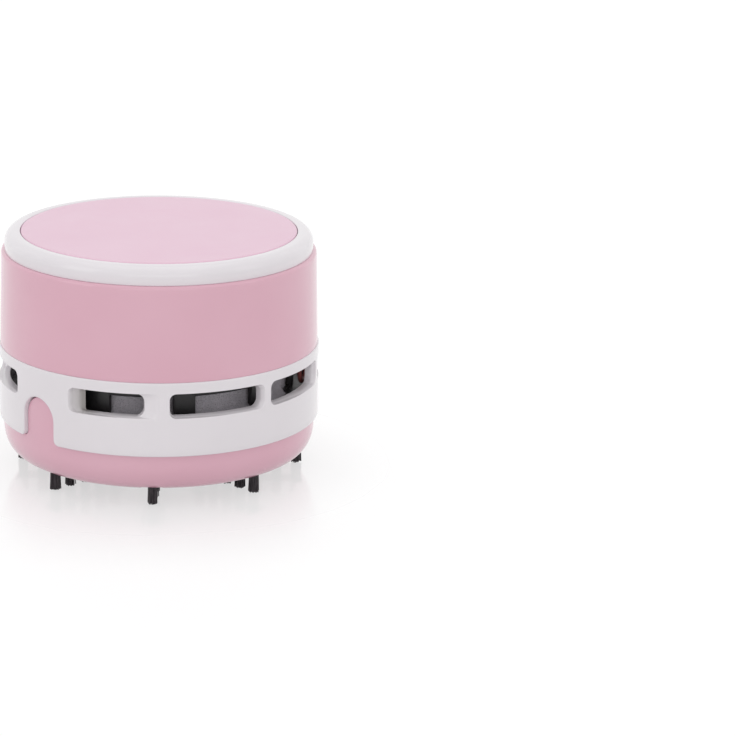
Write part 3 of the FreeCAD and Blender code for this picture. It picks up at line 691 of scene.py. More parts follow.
def rectangle(half_s, low, high):
    """Rectangle with as many points on each side as the outline has."""
    corners = [(-half_s, low), (half_s, low), (half_s, high), (-half_s, high)]
    points = []
    for side in range(4):
        steps = LONG_SIDE if side % 2 == 0 else SHORT_SIDE
        start, end = corners[side], corners[(side + 1) % 4]
        points += [between(start, end, step / steps) for step in range(steps)]
    return points


def morph(first, second, count):
    """Loops from one to another, with both."""
    return [[between(a, b, share) for a, b in zip(first, second)]
            for share in spread(0, 1, count)]


# Each slot of half the band, in degrees from a tab: its share of the band, the hole, and in
# millimetres the length of the slope at each end.
slots = [((10.0, 49.2), (19.6, 42.1), (3.8, 4.2)), ((49.2, 88.9), (51.8, 86.8), (0.3, 0.7)),
         ((88.9, 125.8), (90.9, 123.9), (0.3, 0.5)), ((125.8, 170.0), (131.6, 167.6), (2.6, 0.3))]
band_edge = edge_profile(band_round, band_wall, inner_edge)
slope_shares = (0.03, 0.07, 0.11, 0.15, 0.19, 0.24, 0.3, 0.45, 0.6, 0.64, 0.77, 0.9, 0.91, 1)


def step_depth(share):
    """Share of the wall's depth along a step down, a nearly level floor, and a wall."""
    step, lip = 0.24, 0.62
    step_drop, floor_drop, wall_drop = 0.40, 0.14, 0.46
    if share < step:
        return step_drop * smoothstep(-0.15 * step, step, share)
    if share < lip:
        return step_drop + floor_drop * (share - step) / (lip - step)
    return 1 - wall_drop + wall_drop * (share - lip) / (1 - lip)


def ramp_depth(share):
    """Share of the wall's depth along a soft ramp that ends in a wall."""
    lip, ramp_drop, wall_drop = 0.9, 0.42, 0.58
    if share < lip:
        return ramp_drop * smoothstep(-0.1, 1.5, share) / smoothstep(-0.1, 1.5, lip)
    return ramp_drop + wall_drop * (share - lip) / 0.1


def wrapped(points, depth, radius=band_radius, centre=0.0):
    """Points of a flat (length, height) drawing laid round a wall, at a depth in it."""
    return [spot(centre + s / radius, radius - depth, z) for s, z in points]


def edged(lay, columns, level, way, profile, *centre):
    """Rows over the edge of a wall, from its outside to its inside."""
    return [lay([(s, level + way * inset) for s in columns], depth, *centre)
            for inset, depth in profile]


def slot_sector(share, hole, slopes):
    """One vent slot with its sloped ends, in its share of the band."""
    builder = Builder()
    centre = math.radians(sum(share) / 2)
    half_s = math.radians(share[1] - share[0]) / 2 * band_radius
    hole_s = math.radians(hole[1] - hole[0]) / 2 * band_radius
    offset = math.radians(sum(hole) / 2) * band_radius - centre * band_radius
    middle = slot_low + slot_height / 2
    deep = band_wall - inner_edge

    def opening(widen):
        left, right = (widen * slope * MM for slope in slopes)
        high = slot_height / 2 + widen * slot_flare
        corners = (0.6 * MM + 1.2 * MM * smoothstep(0, 0.4, widen), 2.2 * MM - 0.4 * MM * widen)
        ends = [outline(hole_s + (left + right) / 2, high, corner, corner) for corner in corners]
        points = [first if first[0] < 0 else last for first, last in zip(*ends)]
        return [(offset + (right - left) / 2 + s, middle + z) for s, z in points]

    def slope(share):
        row = []
        for s, z in opening(1 - share):
            ramp = smoothstep(-0.4 * hole_s, 0.4 * hole_s, s - offset)
            depth = deep * (step_depth(share) * (1 - ramp) + ramp_depth(share) * ramp)
            row.append(spot(centre + s / band_radius, band_radius - depth, z))
        return row

    outer = rectangle(half_s, band_low + band_round, band_high - band_round)
    inner = rectangle(half_s, band_low + inner_edge, band_high - inner_edge)
    wall = (band_radius, centre)
    rows = [wrapped(loop, 0, *wall) for loop in morph(outer, opening(1.0), 7)]
    rows += [slope(share) for share in slope_shares]
    rows += [wrapped(loop, band_wall, *wall) for loop in morph(opening(0.06), inner, 5)]
    builder.grid(rows, closed=True)
    columns = [point[0] for point in outer[:LONG_SIDE + 1]]
    for level, way in ((band_low, 1), (band_high, -1)):
        builder.grid(edged(wrapped, columns, level, way, band_edge, *wall))
    return builder


def notch_path(grow):
    """Outline of a tab's notch on its flared feet, moved outwards, from left to right."""
    half, low = tab_half + tab_gap, band_low + tab_flare
    spring = tab_top + tab_gap - half
    left = bend((-half - tab_flare, low), tab_flare - grow, -90, 0, 9)
    left += [(-half - grow, z) for z in spread(low, spring, 9)[1:]]
    crown = bend((0, spring), half + grow, 180, 0, LONG_SIDE + 1)[1:-1]
    return left + crown + [(-s, z) for s, z in reversed(left)]


def tab_sector():
    """The band's share with a notch for a tab, at the front."""
    builder = Builder()
    half_s = tab_reach * band_radius

    def frame_path(inset):
        low, high = band_low + inset, band_high - inset
        left = [(-half_s, z) for z in spread(low, high, SHORT_SIDE + 1)]
        top = [(s, high) for s in spread(-half_s, half_s, LONG_SIDE + 1)[1:-1]]
        return left + top + [(-s, z) for s, z in reversed(left)]

    for inset, depth in ((band_round, 0), (inner_edge, band_wall)):
        loops = morph(notch_path(inset), frame_path(inset), 8)
        builder.grid([wrapped(loop, depth) for loop in loops])
    builder.grid([wrapped(notch_path(inset), depth) for inset, depth in band_edge])
    foot = tab_half + tab_gap + tab_flare
    edges = [(spread(-half_s, half_s, LONG_SIDE + 1), band_high, -1)]
    edges += [(spread(side * foot, side * half_s, 8), band_low, 1) for side in (-1, 1)]
    for columns, edge, way in edges:
        builder.grid(edged(wrapped, columns, edge, way, band_edge))
    return builder


# ---------------------------------------------------------------- repeats

GEOMETRY = "GeometryNodeTree"
GOLDEN_ANGLE = 2.39996
FIBRE_LEAN = 0.025
SHORTEST_FIBRE = 0.955


def realized(tree, end, geometry, material, kind, **inputs):
    """Ends a tree: real copies, one more step, and the material."""
    real = add(tree, "GeometryNodeRealizeInstances", {"Geometry": geometry})
    step = add(tree, kind, {"Geometry": real.outputs[0], **inputs})
    if kind == "GeometryNodeTransform":
        step = add(tree, "GeometryNodeSetShadeSmooth", {"Geometry": step.outputs[0]})
    dressed = add(tree, "GeometryNodeSetMaterial", {
        "Geometry": step.outputs[0], "Material": material})
    feed(tree, end, Geometry=dressed.outputs[0])
    return tree


def copies_tree():
    """Geometry nodes that turn copies of a mesh round the body's axis and join them."""
    tree, wanted, end = new_tree("copies round the axis", GEOMETRY, {
        "Geometry": "Geometry", "Count": 8, "First Azimuth": 0.0, "Step": 0.7,
        "Merge Distance": 2e-6, "Material": "Material"}, {"Geometry": "Geometry"})
    line = add(tree, "GeometryNodeMeshLine", {"Count": wanted["Count"], "Offset": (0, 0, 0)})
    index = add(tree, "GeometryNodeInputIndex").outputs[0]
    azimuth = calc(tree, "ADD", calc(tree, "MULTIPLY", index, wanted["Step"]),
                   wanted["First Azimuth"])
    copies = add(tree, "GeometryNodeInstanceOnPoints", {
        "Points": line.outputs[0], "Instance": wanted["Geometry"],
        "Rotation": combined(tree, Z=azimuth)})
    return realized(tree, end, copies.outputs[0], wanted["Material"],
                    "GeometryNodeMergeByDistance", Distance=wanted["Merge Distance"])


def tufts_tree():
    """Geometry nodes for a strip of tufts: packed fibres that spread towards their tips."""
    tree, wanted, end = new_tree("strip of tufts", GEOMETRY, {
        "Geometry": "Geometry", "Tufts": 5, "Fibres": 60, "Outermost": 38 * MM,
        "Pitch": 5.5 * MM, "Tuft Radius": 1.2 * MM, "Fibre Radius": 0.13 * MM,
        "Root Height": 7.5 * MM, "Length": 7.4 * MM, "Splay": 0.06, "Azimuth": 0.0,
        "Seed": 1, "Material": "Material"}, {"Geometry": "Geometry"})

    def times(first, second):
        return calc(tree, "MULTIPLY", first, second)

    points = add(tree, "GeometryNodePoints", {"Count": times(wanted["Tufts"], wanted["Fibres"])})
    index = add(tree, "GeometryNodeInputIndex").outputs[0]
    share = calc(tree, "DIVIDE", calc(tree, "ADD", index, 0.5), wanted["Fibres"])
    tuft = calc(tree, "FLOOR", share)
    rank = calc(tree, "SUBTRACT", share, tuft)
    reach = times(calc(tree, "SQRT", rank), wanted["Tuft Radius"])
    angle = times(index, GOLDEN_ANGLE)
    across = times(calc(tree, "COSINE", angle), reach)
    along = times(calc(tree, "SINE", angle), reach)
    distance = calc(tree, "SUBTRACT", times(tuft, wanted["Pitch"]), wanted["Outermost"])
    roots = add(tree, "GeometryNodeSetPosition", {
        "Geometry": points.outputs[0],
        "Position": combined(tree, X=across, Y=calc(tree, "ADD", distance, along),
                             Z=wanted["Root Height"])})
    jitter = add(tree, "FunctionNodeRandomValue", {
        0: (-FIBRE_LEAN, -FIBRE_LEAN, 0.0), 1: (FIBRE_LEAN, FIBRE_LEAN, 6.28),
        "Seed": wanted["Seed"]}, data_type="FLOAT_VECTOR").outputs[0]
    lean = calc(tree, "DIVIDE", wanted["Splay"], wanted["Tuft Radius"])
    tilt = combined(tree, X=times(along, lean), Y=times(times(across, lean), -1.0))
    short = add(tree, "FunctionNodeRandomValue", {
        2: SHORTEST_FIBRE, 3: 1.0, "Seed": calc(tree, "ADD", wanted["Seed"], 7)},
        data_type="FLOAT").outputs[1]
    size = combined(tree, X=wanted["Fibre Radius"], Y=wanted["Fibre Radius"],
                    Z=times(short, wanted["Length"]))
    fibres = add(tree, "GeometryNodeInstanceOnPoints", {
        "Points": roots.outputs[0], "Instance": wanted["Geometry"],
        "Rotation": vector_calc(tree, "ADD", tilt, jitter), "Scale": size})
    return realized(tree, end, fibres.outputs[0], wanted["Material"],
                    "GeometryNodeTransform", Rotation=combined(tree, Z=wanted["Azimuth"]))


def grown(piece, tree, **inputs):
    """Plain mesh that the tree makes from a piece, which is then taken away."""
    modifier = piece.modifiers.new("repeat", "NODES")
    modifier.node_group = tree
    for item in tree.interface.items_tree:
        key = item.name.replace(" ", "_")
        if item.in_out == "INPUT" and key in inputs:
            modifier[item.identifier] = inputs[key]
    bpy.context.view_layer.update()
    seen = piece.evaluated_get(bpy.context.evaluated_depsgraph_get())
    mesh = bpy.data.meshes.new_from_object(seen)
    piece.modifiers.remove(modifier)
    bpy.data.objects.remove(piece)
    return mesh


turned_copies = copies_tree()
strip_of_tufts = tufts_tree()


# ---------------------------------------------------------------- vent band

def vent_band():
    """White band: eight slots and two notches, with the ledge that carries the deck."""
    sectors = [slot_sector(*slot) for slot in slots] + [tab_sector()]
    half = joined("half band", [taken(sector.piece("share", band_white)) for sector in sectors])
    whole = grown(half, turned_copies, Count=2, First_Azimuth=tab_azimuth, Step=math.pi,
                  Material=band_white)
    ledge = Builder()
    edge = 0.2 * MM
    foot, top = band_bore + ledge_overlap, band_high - 0.02 * MM
    profile = [(foot, ledge_low), (ledge_bore + edge, ledge_low), (ledge_bore, ledge_low + edge),
               (ledge_bore, band_high - edge), (ledge_bore + edge, top), (foot, top)]
    lathe(ledge, profile, 220, start=lead_azimuth + lead_gap, turn=TURN - 2 * lead_gap)
    for azimuth in (lead_azimuth + lead_gap, lead_azimuth - lead_gap):
        points = [spot(azimuth, radius, height) for radius, height in profile]
        ledge.grid([points[:3], points[:2:-1]])
    return joined("vent_band_shell", [whole, taken(ledge.piece("ledge", band_white))])


# ---------------------------------------------------------------- dust tray

half_columns = [0.4, 0.8, 1.2, 1.6, 2.0, 2.3, 2.5, 2.65, 2.8, 2.95, 3.1, 3.4]
near_share = 0.31
gap_shares = [near_share * step / 8 for step in range(1, 9)]
gap_shares += [near_share + (1 - near_share) * step / 9 for step in range(1, 9)]


def tray_columns(radius):
    """Azimuth from its strip's middle, and strip, of every column at one radius."""
    near_inlet, away = 9 * MM, 14.5 * MM
    squeeze = 0.55 + 0.45 * smoothstep(near_inlet, away, radius)
    inner = [math.asin(x * MM * squeeze / radius) for x in half_columns]
    side = inner + [inner[-1] + (math.pi / 8 - inner[-1]) * share for share in gap_shares]
    angles = [-angle for angle in reversed(side)] + [0.0] + side + [math.pi / 8]
    return [(angle, strip) for strip in range(8) for angle in angles]


def strip_distance(strip, angle, radius):
    """Distance of a point from the middle line of its strip of tufts."""
    start = outer_tuft - (strip_tufts[strip] - 1) * tuft_pitch
    along, aside = radius * math.cos(angle), radius * math.sin(angle)
    return abs(aside) if along > start else math.hypot(aside, start - along)


def underside(radius, rise, strip, angle):
    """Height of the tray's underside, with its troughs and dimples."""
    side_soft, end_soft, edge_soft = 0.4 * MM, 0.35 * MM, 0.35 * MM
    cover = 1 - smoothstep(trough_half - side_soft, trough_half + side_soft,
                           strip_distance(strip, angle, radius))
    cover *= 1 - smoothstep(trough_end - end_soft, trough_end + end_soft, radius)
    lift = trough_depth * cover
    soft = edge_soft * cover
    rise = (rise + lift + math.sqrt((rise - lift) ** 2 + soft ** 2)) / 2
    if strip in (3, 7):
        off = math.hypot(radius * math.cos(angle) - dimple_distance, radius * math.sin(angle))
        rise += dimple_depth * (1 - smoothstep(0.4 * MM, dimple_radius, off))
    return tray_low + rise


def bowl_floor(radius, strip, angle):
    """Height of the bowl's floor, with the bars over the strips."""
    bar = 1 - smoothstep(pad_half - 0.2 * MM, pad_half + 0.15 * MM,
                         strip_distance(strip, angle, radius))
    return tray_low + tray_floor + pad_height * bar


def tab_outline(aside):
    """Top of the tray's side above a place on it, and the way into the material."""
    side = math.copysign(1, aside)
    far = abs(aside)
    foot = tab_half + tab_flare
    crown, knee = 0.64 * tab_half, 0.85 * tab_half
    spring = tab_top - tab_half
    if far >= foot:
        return (aside, band_low), (0, -1)
    if far <= crown:
        angle = math.pi / 2 * (1 - far / crown)
        across, up = math.cos(angle), math.sin(angle)
        return (side * tab_half * across, spring + tab_half * up), (-side * across, -up)
    if far <= knee:
        share = (far - crown) / (knee - crown)
        height = spring + (band_low + tab_flare - tab_top + tab_half) * share
        return (side * tab_half, height), (-side, 0)
    angle = math.pi + math.pi / 2 * (far - knee) / (foot - knee)
    across, up = math.cos(angle), math.sin(angle)
    return ((side * (foot + tab_flare * across), band_low + tab_flare + tab_flare * up),
            (side * across, up))


def tray_radii(low, high):
    """Radii of the floor's rows: closer where a trough or a dimple ends."""
    radii = [low]
    close_rows, close_step, wide_step = [(12.4, 16.4), (17.0, 20.6), (22.8, 26.8)], 0.36, 0.72
    while radii[-1] < high - 0.3 * MM:
        close = any(start <= radii[-1] / MM <= end for start, end in close_rows)
        radii.append(radii[-1] + (close_step if close else wide_step) * MM)
    return radii[:-1] + [high]


def dust_tray():
    """Pink tray in one closed surface: underside, side with tabs, spigot, bowl and inlet."""
    builder = Builder()
    rows = []
    inner_round = tray_radius - tray_round

    def row(radius, height):
        """Row at one radius, whose height is a number or a function of strip and angle."""
        columns = tray_columns(max(radius, inlet_radius))
        rows.append([spot(strip_azimuths[strip] + angle, radius,
                          height(strip, angle) if callable(height) else height)
                     for angle, strip in columns])

    for radius, height in bend((inlet_radius + inlet_round, tray_low + inlet_round),
                               inlet_round, 180, 262, 6):
        row(radius, height)
    for radius in tray_radii(inlet_radius + inlet_round, inner_round):
        row(radius, lambda strip, angle: underside(radius, 0, strip, angle))
    for across, up in bend((0, 0), 1, -90, 0, 20)[1:]:
        radius = inner_round + tray_round * across
        row(radius, lambda strip, angle: underside(radius, tray_rise * (1 + up), strip, angle))

    columns = tray_columns(tray_radius)
    asides = [angle * tray_radius for angle, _ in columns]
    tops = [tab_outline(aside) if strip in (0, 4) else ((aside, band_low), (0, -1))
            for aside, (_, strip) in zip(asides, columns)]

    def side_row(inset, depth, share, base):
        points = []
        for aside, (_, strip), (top, inward) in zip(asides, columns, tops):
            edge = (top[0] + inward[0] * inset, top[1] + inward[1] * inset)
            s, z = between((aside, base), edge, share)
            points.append(spot(strip_azimuths[strip] + s / tray_radius, tray_radius - depth, z))
        rows.append(points)

    foot = 0.2 * MM
    for share in spread(0, 1, 12)[1:]:
        side_row(tab_edge, 0, share, tray_low + tray_rise)
    for inset, depth in edge_profile(tab_edge, tab_thickness, foot)[1:]:
        side_row(inset, depth, 1, tray_low + tray_rise)
    for share in (0.6, 0.2, 0.0):
        side_row(foot, tab_thickness, share, band_low - foot)

    bowl_radius = tray_radius - tray_wall
    spigot = [(spigot_radius + 0.1 * MM, band_low - foot), (spigot_radius, band_low)]
    spigot += rim(spigot_radius, spigot_bore, spigot_top, 0.4 * MM, 0.1 * MM, 0.35 * MM)
    spigot += [(spigot_bore, band_low - shoulder), (bowl_radius - 0.2 * MM, band_low - shoulder),
               (bowl_radius, band_low - shoulder - 0.2 * MM)]
    for radius, height in spigot:
        row(radius, height)
    floor_high = tray_low + tray_floor
    corner = (bowl_radius - bowl_corner, floor_high + bowl_corner)
    for radius, height in bend(corner, bowl_corner, 0, -90, 6):
        row(radius, lambda strip, angle: max(height, bowl_floor(radius, strip, angle)))
    tube_radius = inlet_radius + inlet_wall
    for radius in reversed(tray_radii(tube_radius + 0.4 * MM, corner[0])[:-1]):
        row(radius, lambda strip, angle: bowl_floor(radius, strip, angle))
    tube = [(tube_radius + 0.1 * MM, floor_high + 0.1 * MM), (tube_radius, floor_high + 0.4 * MM)]
    for radius, height in tube + rim(tube_radius, inlet_radius, inlet_top, 0.5 * MM,
                                     0.15 * MM, 0.5 * MM):
        row(radius, height)
    builder.grid(rows + rows[:1], closed=True)
    return builder.piece("dust_tray_shell", pink, sharp=38)


# ---------------------------------------------------------------- sleeve, lid ring and disc

def body_sleeve():
    """Pink sleeve, with the switch's recess and window at the back."""
    builder = Builder()
    reach = math.radians(12)
    half_s = reach * band_radius
    edge = 0.4 * MM

    def place(points, depth, centre=math.pi):
        row = []
        for s, z in points:
            taper = sleeve_taper * (z - sleeve_low) / (sleeve_high - sleeve_low)
            row.append(spot(centre + s / band_radius, sleeve_radius - taper - depth, z))
        return row

    def on_floor(points, y):
        return [spot(math.pi + s / band_radius, y / math.cos(s / band_radius), z)
                for s, z in points]

    def hole(half, corner, grow=0.0):
        points = outline(half[0] + grow, half[1] + grow, corner + grow, corner + grow)
        return [(s, recess_centre + z) for s, z in points]

    low, high = sleeve_low + inner_edge, sleeve_high - sleeve_round
    wall = rectangle(half_s, low, high)
    window = hole(window_half, window_corner)
    rows = [place(loop, 0) for loop in morph(wall, hole(recess_half, recess_corner, edge), 8)]
    rows += [place(hole(recess_half, recess_corner, grow), depth)
             for grow, depth in quarter_round(edge, 5)[1:]]
    rows.append(on_floor(hole(recess_half, recess_corner), recess_floor + 0.2 * MM))
    rows.append(on_floor(hole(recess_half, 0.7 * MM, -0.15 * MM), recess_floor))
    rows.append(on_floor(hole(window_half, window_corner, 0.1 * MM), recess_floor))
    rows.append(on_floor(window, recess_floor - 0.1 * MM))
    rows += [place(loop, sleeve_wall) for loop in morph(window, wall, 5)]
    builder.grid(rows, closed=True)

    wide = spread(-half_s, half_s, LONG_SIDE + 1)
    rest = math.pi - reach
    far = spread(-rest * band_radius, rest * band_radius, 321)
    top = quarter_round(sleeve_round, 8)
    top += [(0, sleeve_wall - inner_edge), (0.05 * MM, sleeve_wall - 0.05 * MM),
            (inner_edge, sleeve_wall), (sleeve_round, sleeve_wall)]
    bottom = edge_profile(inner_edge, sleeve_wall, inner_edge)
    for columns, centre in ((wide, math.pi), (far, 0.0)):
        for level, way, profile in ((sleeve_low, 1, bottom), (sleeve_high, -1, top)):
            builder.grid(edged(place, columns, level, way, profile, centre))
    for depth in (0, sleeve_wall):
        builder.grid([place([(s, z) for s in far], depth, 0.0)
                      for z in spread(low, high, SHORT_SIDE + 1)])
    return builder.piece("body_sleeve_shell", pink)


def top_ring():
    """White lid ring: upright side, round shoulder, lip, disc seat and spigot."""
    builder = Builder()
    spigot_out = sleeve_radius - sleeve_taper - sleeve_wall - 0.15 * MM
    spigot_in = spigot_out - ring_spigot_wall
    seat = disc_radius + 0.15 * MM
    seat_edge = 0.25 * MM
    base = sleeve_high
    side = sleeve_radius - sleeve_taper - 0.9 * MM
    plate_low = disc_low - ring_plate
    profile = [(0, plate_low), (20 * MM, plate_low), (spigot_in, plate_low),
               (spigot_in, ring_low + 0.15 * MM), (spigot_in + 0.15 * MM, ring_low),
               (spigot_out - 0.5 * MM, ring_low), (spigot_out, ring_low + 0.5 * MM),
               (spigot_out, base), (side - 0.2 * MM, base), (side - 0.05 * MM, base + 0.05 * MM),
               (side, base + 0.2 * MM)]
    profile += bend((side - ring_round, ring_lip - ring_round), ring_round, 0, 90, 24)
    profile += bend((seat + seat_edge, ring_lip - seat_edge), seat_edge, 90, 180, 5)
    profile += [(seat, disc_low), (20 * MM, disc_low), (0, disc_low)]
    lathe(builder, profile, 360)
    return builder.piece("top_ring_shell", white)


def top_disc():
    """Pale pink disc in the lid, with a round edge."""
    builder = Builder()
    foot = 0.2 * MM
    profile = [(0, disc_low), (disc_radius - foot, disc_low), (disc_radius, disc_low + foot)]
    profile += bend((disc_radius - disc_edge, disc_high - disc_edge), disc_edge, 0, 90, 7)
    profile += [(radius * MM, disc_high) for radius in (35, 30, 24, 18, 12, 6, 0)]
    lathe(builder, profile, 360)
    return builder.piece("top_disc_plate", pale_pink)


# ---------------------------------------------------------------- brushes

def fibre():
    """Unit fibre: five-sided, bowed a little, with a cut tip at the bottom."""
    builder = Builder()
    rows = []
    for share in spread(0, 1, 4):
        bow = 0.5 * math.sin(math.pi * share)
        rows.append([Vector((math.cos(angle) + bow, math.sin(angle), -share))
                     for angle in spread(0, TURN, 6)[:5]])
    builder.grid(rows, closed=True)
    first = len(builder.points)
    builder.faces += [(first - 5, first - 4, first - 3, first - 2, first - 1), (4, 3, 2, 1, 0)]
    builder.slots += [0, 0]
    return builder.piece("fibre", bristle, merge=1e-9)


def brush_strips():
    """The eight strips of bristle tufts, each its own piece."""
    for index, (azimuth, tufts) in enumerate(zip(strip_azimuths, strip_tufts)):
        name = f"{'long' if tufts == 5 else 'short'}_brush_{index // 2 + 1}"
        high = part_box(name)[1].z - 0.4 * MM
        mesh = grown(fibre(), strip_of_tufts, Tufts=tufts, Fibres=tuft_fibres,
                     Outermost=outer_tuft, Pitch=tuft_pitch, Tuft_Radius=1.14 * MM,
                     Fibre_Radius=0.13 * MM, Root_Height=high, Length=high - 0.02 * MM,
                     Splay=0.03, Azimuth=azimuth, Seed=index + 3, Material=bristle)
        fit(placed(name + "_tufts", mesh), "tray", "bristle", name)


# ---------------------------------------------------------------- fan cage and filters

def cage_bay(open_bay):
    """One bay of the cage's wall with its share of the posts, at the front, open or blind."""
    builder = Builder()
    half_s = math.pi / cage_windows * cage_radius
    low, high = cage_low + 0.1 * MM, cage_high
    sill = cage_rim - 0.05 * MM
    columns = spread(-half_s, half_s, LONG_SIDE + 1)

    def place(points, depth):
        return wrapped(points, depth, cage_radius)

    def hole(grow):
        points = outline(window_reach * cage_radius + grow, (window_high - sill) / 2 + grow,
                         0.3 * MM + grow, 0.3 * MM + grow)
        return [(s, (sill + window_high) / 2 + z) for s, z in points]

    def levels(heights, depths):
        return [place([(s, z) for s in columns], depth) for z in heights for depth in depths]

    if open_bay:
        outer = rectangle(half_s, low, high)
        rows = [place(loop, 0) for loop in morph(outer, hole(0.25 * MM), 3)]
        rows += [place(hole(0.07 * MM), 0.07 * MM), place(hole(0), 0.25 * MM)]
        rows += [place(hole(0), cage_wall - 0.1 * MM), place(hole(0.1 * MM), cage_wall)]
        builder.grid(rows + [place(outer, cage_wall)], closed=True)
    else:
        for depth in (0, cage_wall):
            builder.grid(levels(spread(low, high, SHORT_SIDE + 1), [depth]))
    for z in (low, high):
        builder.grid(levels([z], (0, cage_wall)))
    return builder.piece("bay", black)


def fan_cage():
    """Black cage round the fan: a plate with the fan's eye and a ring of windows but one."""
    step = TURN / cage_windows
    walls = [grown(cage_bay(open_bay), turned_copies, Count=count, First_Azimuth=first,
                   Step=step, Material=black)
             for open_bay, count, first in ((True, cage_windows - 1, cage_first),
                                            (False, 1, cage_first - step))]
    plate = Builder()
    high = cage_low + cage_plate
    middle = cage_radius - cage_wall / 2
    profile = [(fan_eye, cage_low + 0.4 * MM), (fan_eye + 0.12 * MM, cage_low + 0.12 * MM),
               (fan_eye + 0.4 * MM, cage_low), (cage_plate_radius - 0.3 * MM, cage_low),
               (cage_plate_radius, cage_low + 0.2 * MM), (cage_plate_radius, cage_rim - 0.2 * MM),
               (cage_plate_radius - 0.3 * MM, cage_rim), (middle, cage_rim), (middle, high),
               (fan_eye + 0.4 * MM, high), (fan_eye + 0.12 * MM, high - 0.12 * MM),
               (fan_eye, high - 0.4 * MM)]
    lathe(plate, profile)
    return joined("fan_cage_ring", walls + [taken(plate.piece("cage plate", black))])


def exhaust_filter():
    """Foam ring behind the windows, a little proud in each and pressed in at the posts."""
    builder = Builder()
    low, high, outer = span("exhaust_filter")
    inner = outer - foam_wall
    steps = 400
    foot_reach, foot_height = 1.5 * MM, 2.4 * MM
    roughness, lump_rate = 0.06 * MM, 900
    crown_drop, post_press = 0.18 * MM, 0.3 * MM
    section = [(0, share) for share in spread(0.0, 0.16, 7) + spread(0.16, 0.96, 12)[1:]]
    section = [(0.25, 0.0)] + section + [(0.25, 1.0), (0.75, 1.0)]
    section += [(1, share) for share in spread(0.96, 0.04, 6)] + [(0.75, 0.0)]
    rows = []
    for step in range(steps):
        azimuth = cage_first + TURN * step / steps
        off_bay = math.acos(math.cos((azimuth - cage_first) * cage_windows)) / cage_windows
        pressed = post_press * smoothstep(window_reach - 0.02, window_reach + 0.04, off_bay)
        off_lead = math.acos(math.cos(azimuth - lead_azimuth))
        lip = smoothstep(math.radians(14.2), math.radians(15), off_lead)
        lip *= 1 - smoothstep(window_reach, window_reach + 0.03, off_bay)
        points = []
        for depth, share in section:
            floor_z = cage_rim + 0.05 * MM if depth < 0.5 else low
            z = floor_z + (high - floor_z) * share
            radius = outer - (outer - inner) * depth
            if depth < 0.5:
                crown = crown_drop * max(0, 2 * share - 1) ** 4
                rough = roughness * noise.noise(spot(azimuth, outer, z) * lump_rate)
                radius -= roughness + crown + (pressed if depth == 0 else 0) - rough
                foot = 1 - smoothstep(0, foot_height, z - floor_z)
                radius += foot_reach * foot * lip if depth == 0 else 0
            points.append(spot(azimuth, radius, z))
        rows.append(points)
    builder.grid([list(row) for row in zip(*(rows + rows[:1]))])
    builder.grid([[row[-1] for row in rows + rows[:1]], [row[0] for row in rows + rows[:1]]])
    return builder.piece("exhaust_foam", foam, sharp=60)


def filter_mesh():
    """Nylon filter cloth on the frame's cross, sagging a little between the bars."""
    builder = Builder()
    _, high, radius = span("filter_mesh")
    segments = 144
    sag = 0.12 * MM
    shares = [0.0] + spread(0.08, 0.995, 22)
    above, under, pole = 0.04 * MM, 0.16 * MM, 0.004 * MM
    rows = []
    for way, drop in ((1, above), (-1, under)):
        for share in shares[::way]:
            reach = max(radius * share, pole)
            points = []
            for azimuth in spread(0, TURN, segments + 1)[:-1]:
                hang = abs(math.sin(2 * azimuth)) * math.sin(math.pi * min(1, share)) ** 2
                points.append(spot(azimuth, reach, high - drop - sag * hang))
            rows.append(points)
    builder.grid(rows + rows[:1], closed=True)
    return builder.piece("filter_cloth_disc", cloth, merge=2e-5)


# ---------------------------------------------------------------- batteries and knob

def cell(name, way):
    """AA cell without print: wrapped can, copper band at the plus end, and plated ends."""
    low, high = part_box(name)
    x, z = (low.x + high.x) / 2, (low.z + high.z) / 2
    radius = (high.z - low.z) / 2
    plus, minus = (high.y, low.y) if way > 0 else (low.y, high.y)
    length = abs(plus - minus)
    builder = Builder()
    nub = 2.75 * MM
    axis = 0.01 * MM
    can = length - 1.0 * MM
    bands = [
        (2, [(axis, 0.1 * MM), (5.2 * MM, 0.1 * MM), (5.5 * MM, 0.0), (6.2 * MM, 0.0),
             (6.6 * MM, 0.15 * MM)]),
        (0, [(6.6 * MM, 0.15 * MM), (radius - 0.25 * MM, 0.25 * MM), (radius, 0.6 * MM),
             (radius, can * 0.35), (radius, can * 0.72)]),
        (1, [(radius, can * 0.72), (radius, can * 0.72 + 0.1 * MM), (radius, can * 0.9),
             (radius, can - 0.7 * MM), (radius - 0.2 * MM, can - 0.25 * MM),
             (radius - 0.6 * MM, can - 0.02 * MM), (5.9 * MM, can - 0.02 * MM)]),
        (2, [(5.9 * MM, can - 0.02 * MM), (5.7 * MM, can - 0.2 * MM), (3.5 * MM, can - 0.2 * MM),
             (nub + 0.15 * MM, can), (nub, can + 0.3 * MM), (nub, length - 0.25 * MM),
             (nub - 0.25 * MM, length), (axis, length)])]
    for slot, profile in bands:
        rows = [[Vector((x + reach * math.cos(angle), minus + way * along,
                         z + reach * math.sin(angle)))
                 for angle in spread(0, TURN, 97)[:-1]] for reach, along in profile]
        builder.grid(rows, closed=True, slot=slot)
    return builder.piece(name + "_cell", cell_wrap, cell_band, cell_metal, merge=2e-5)


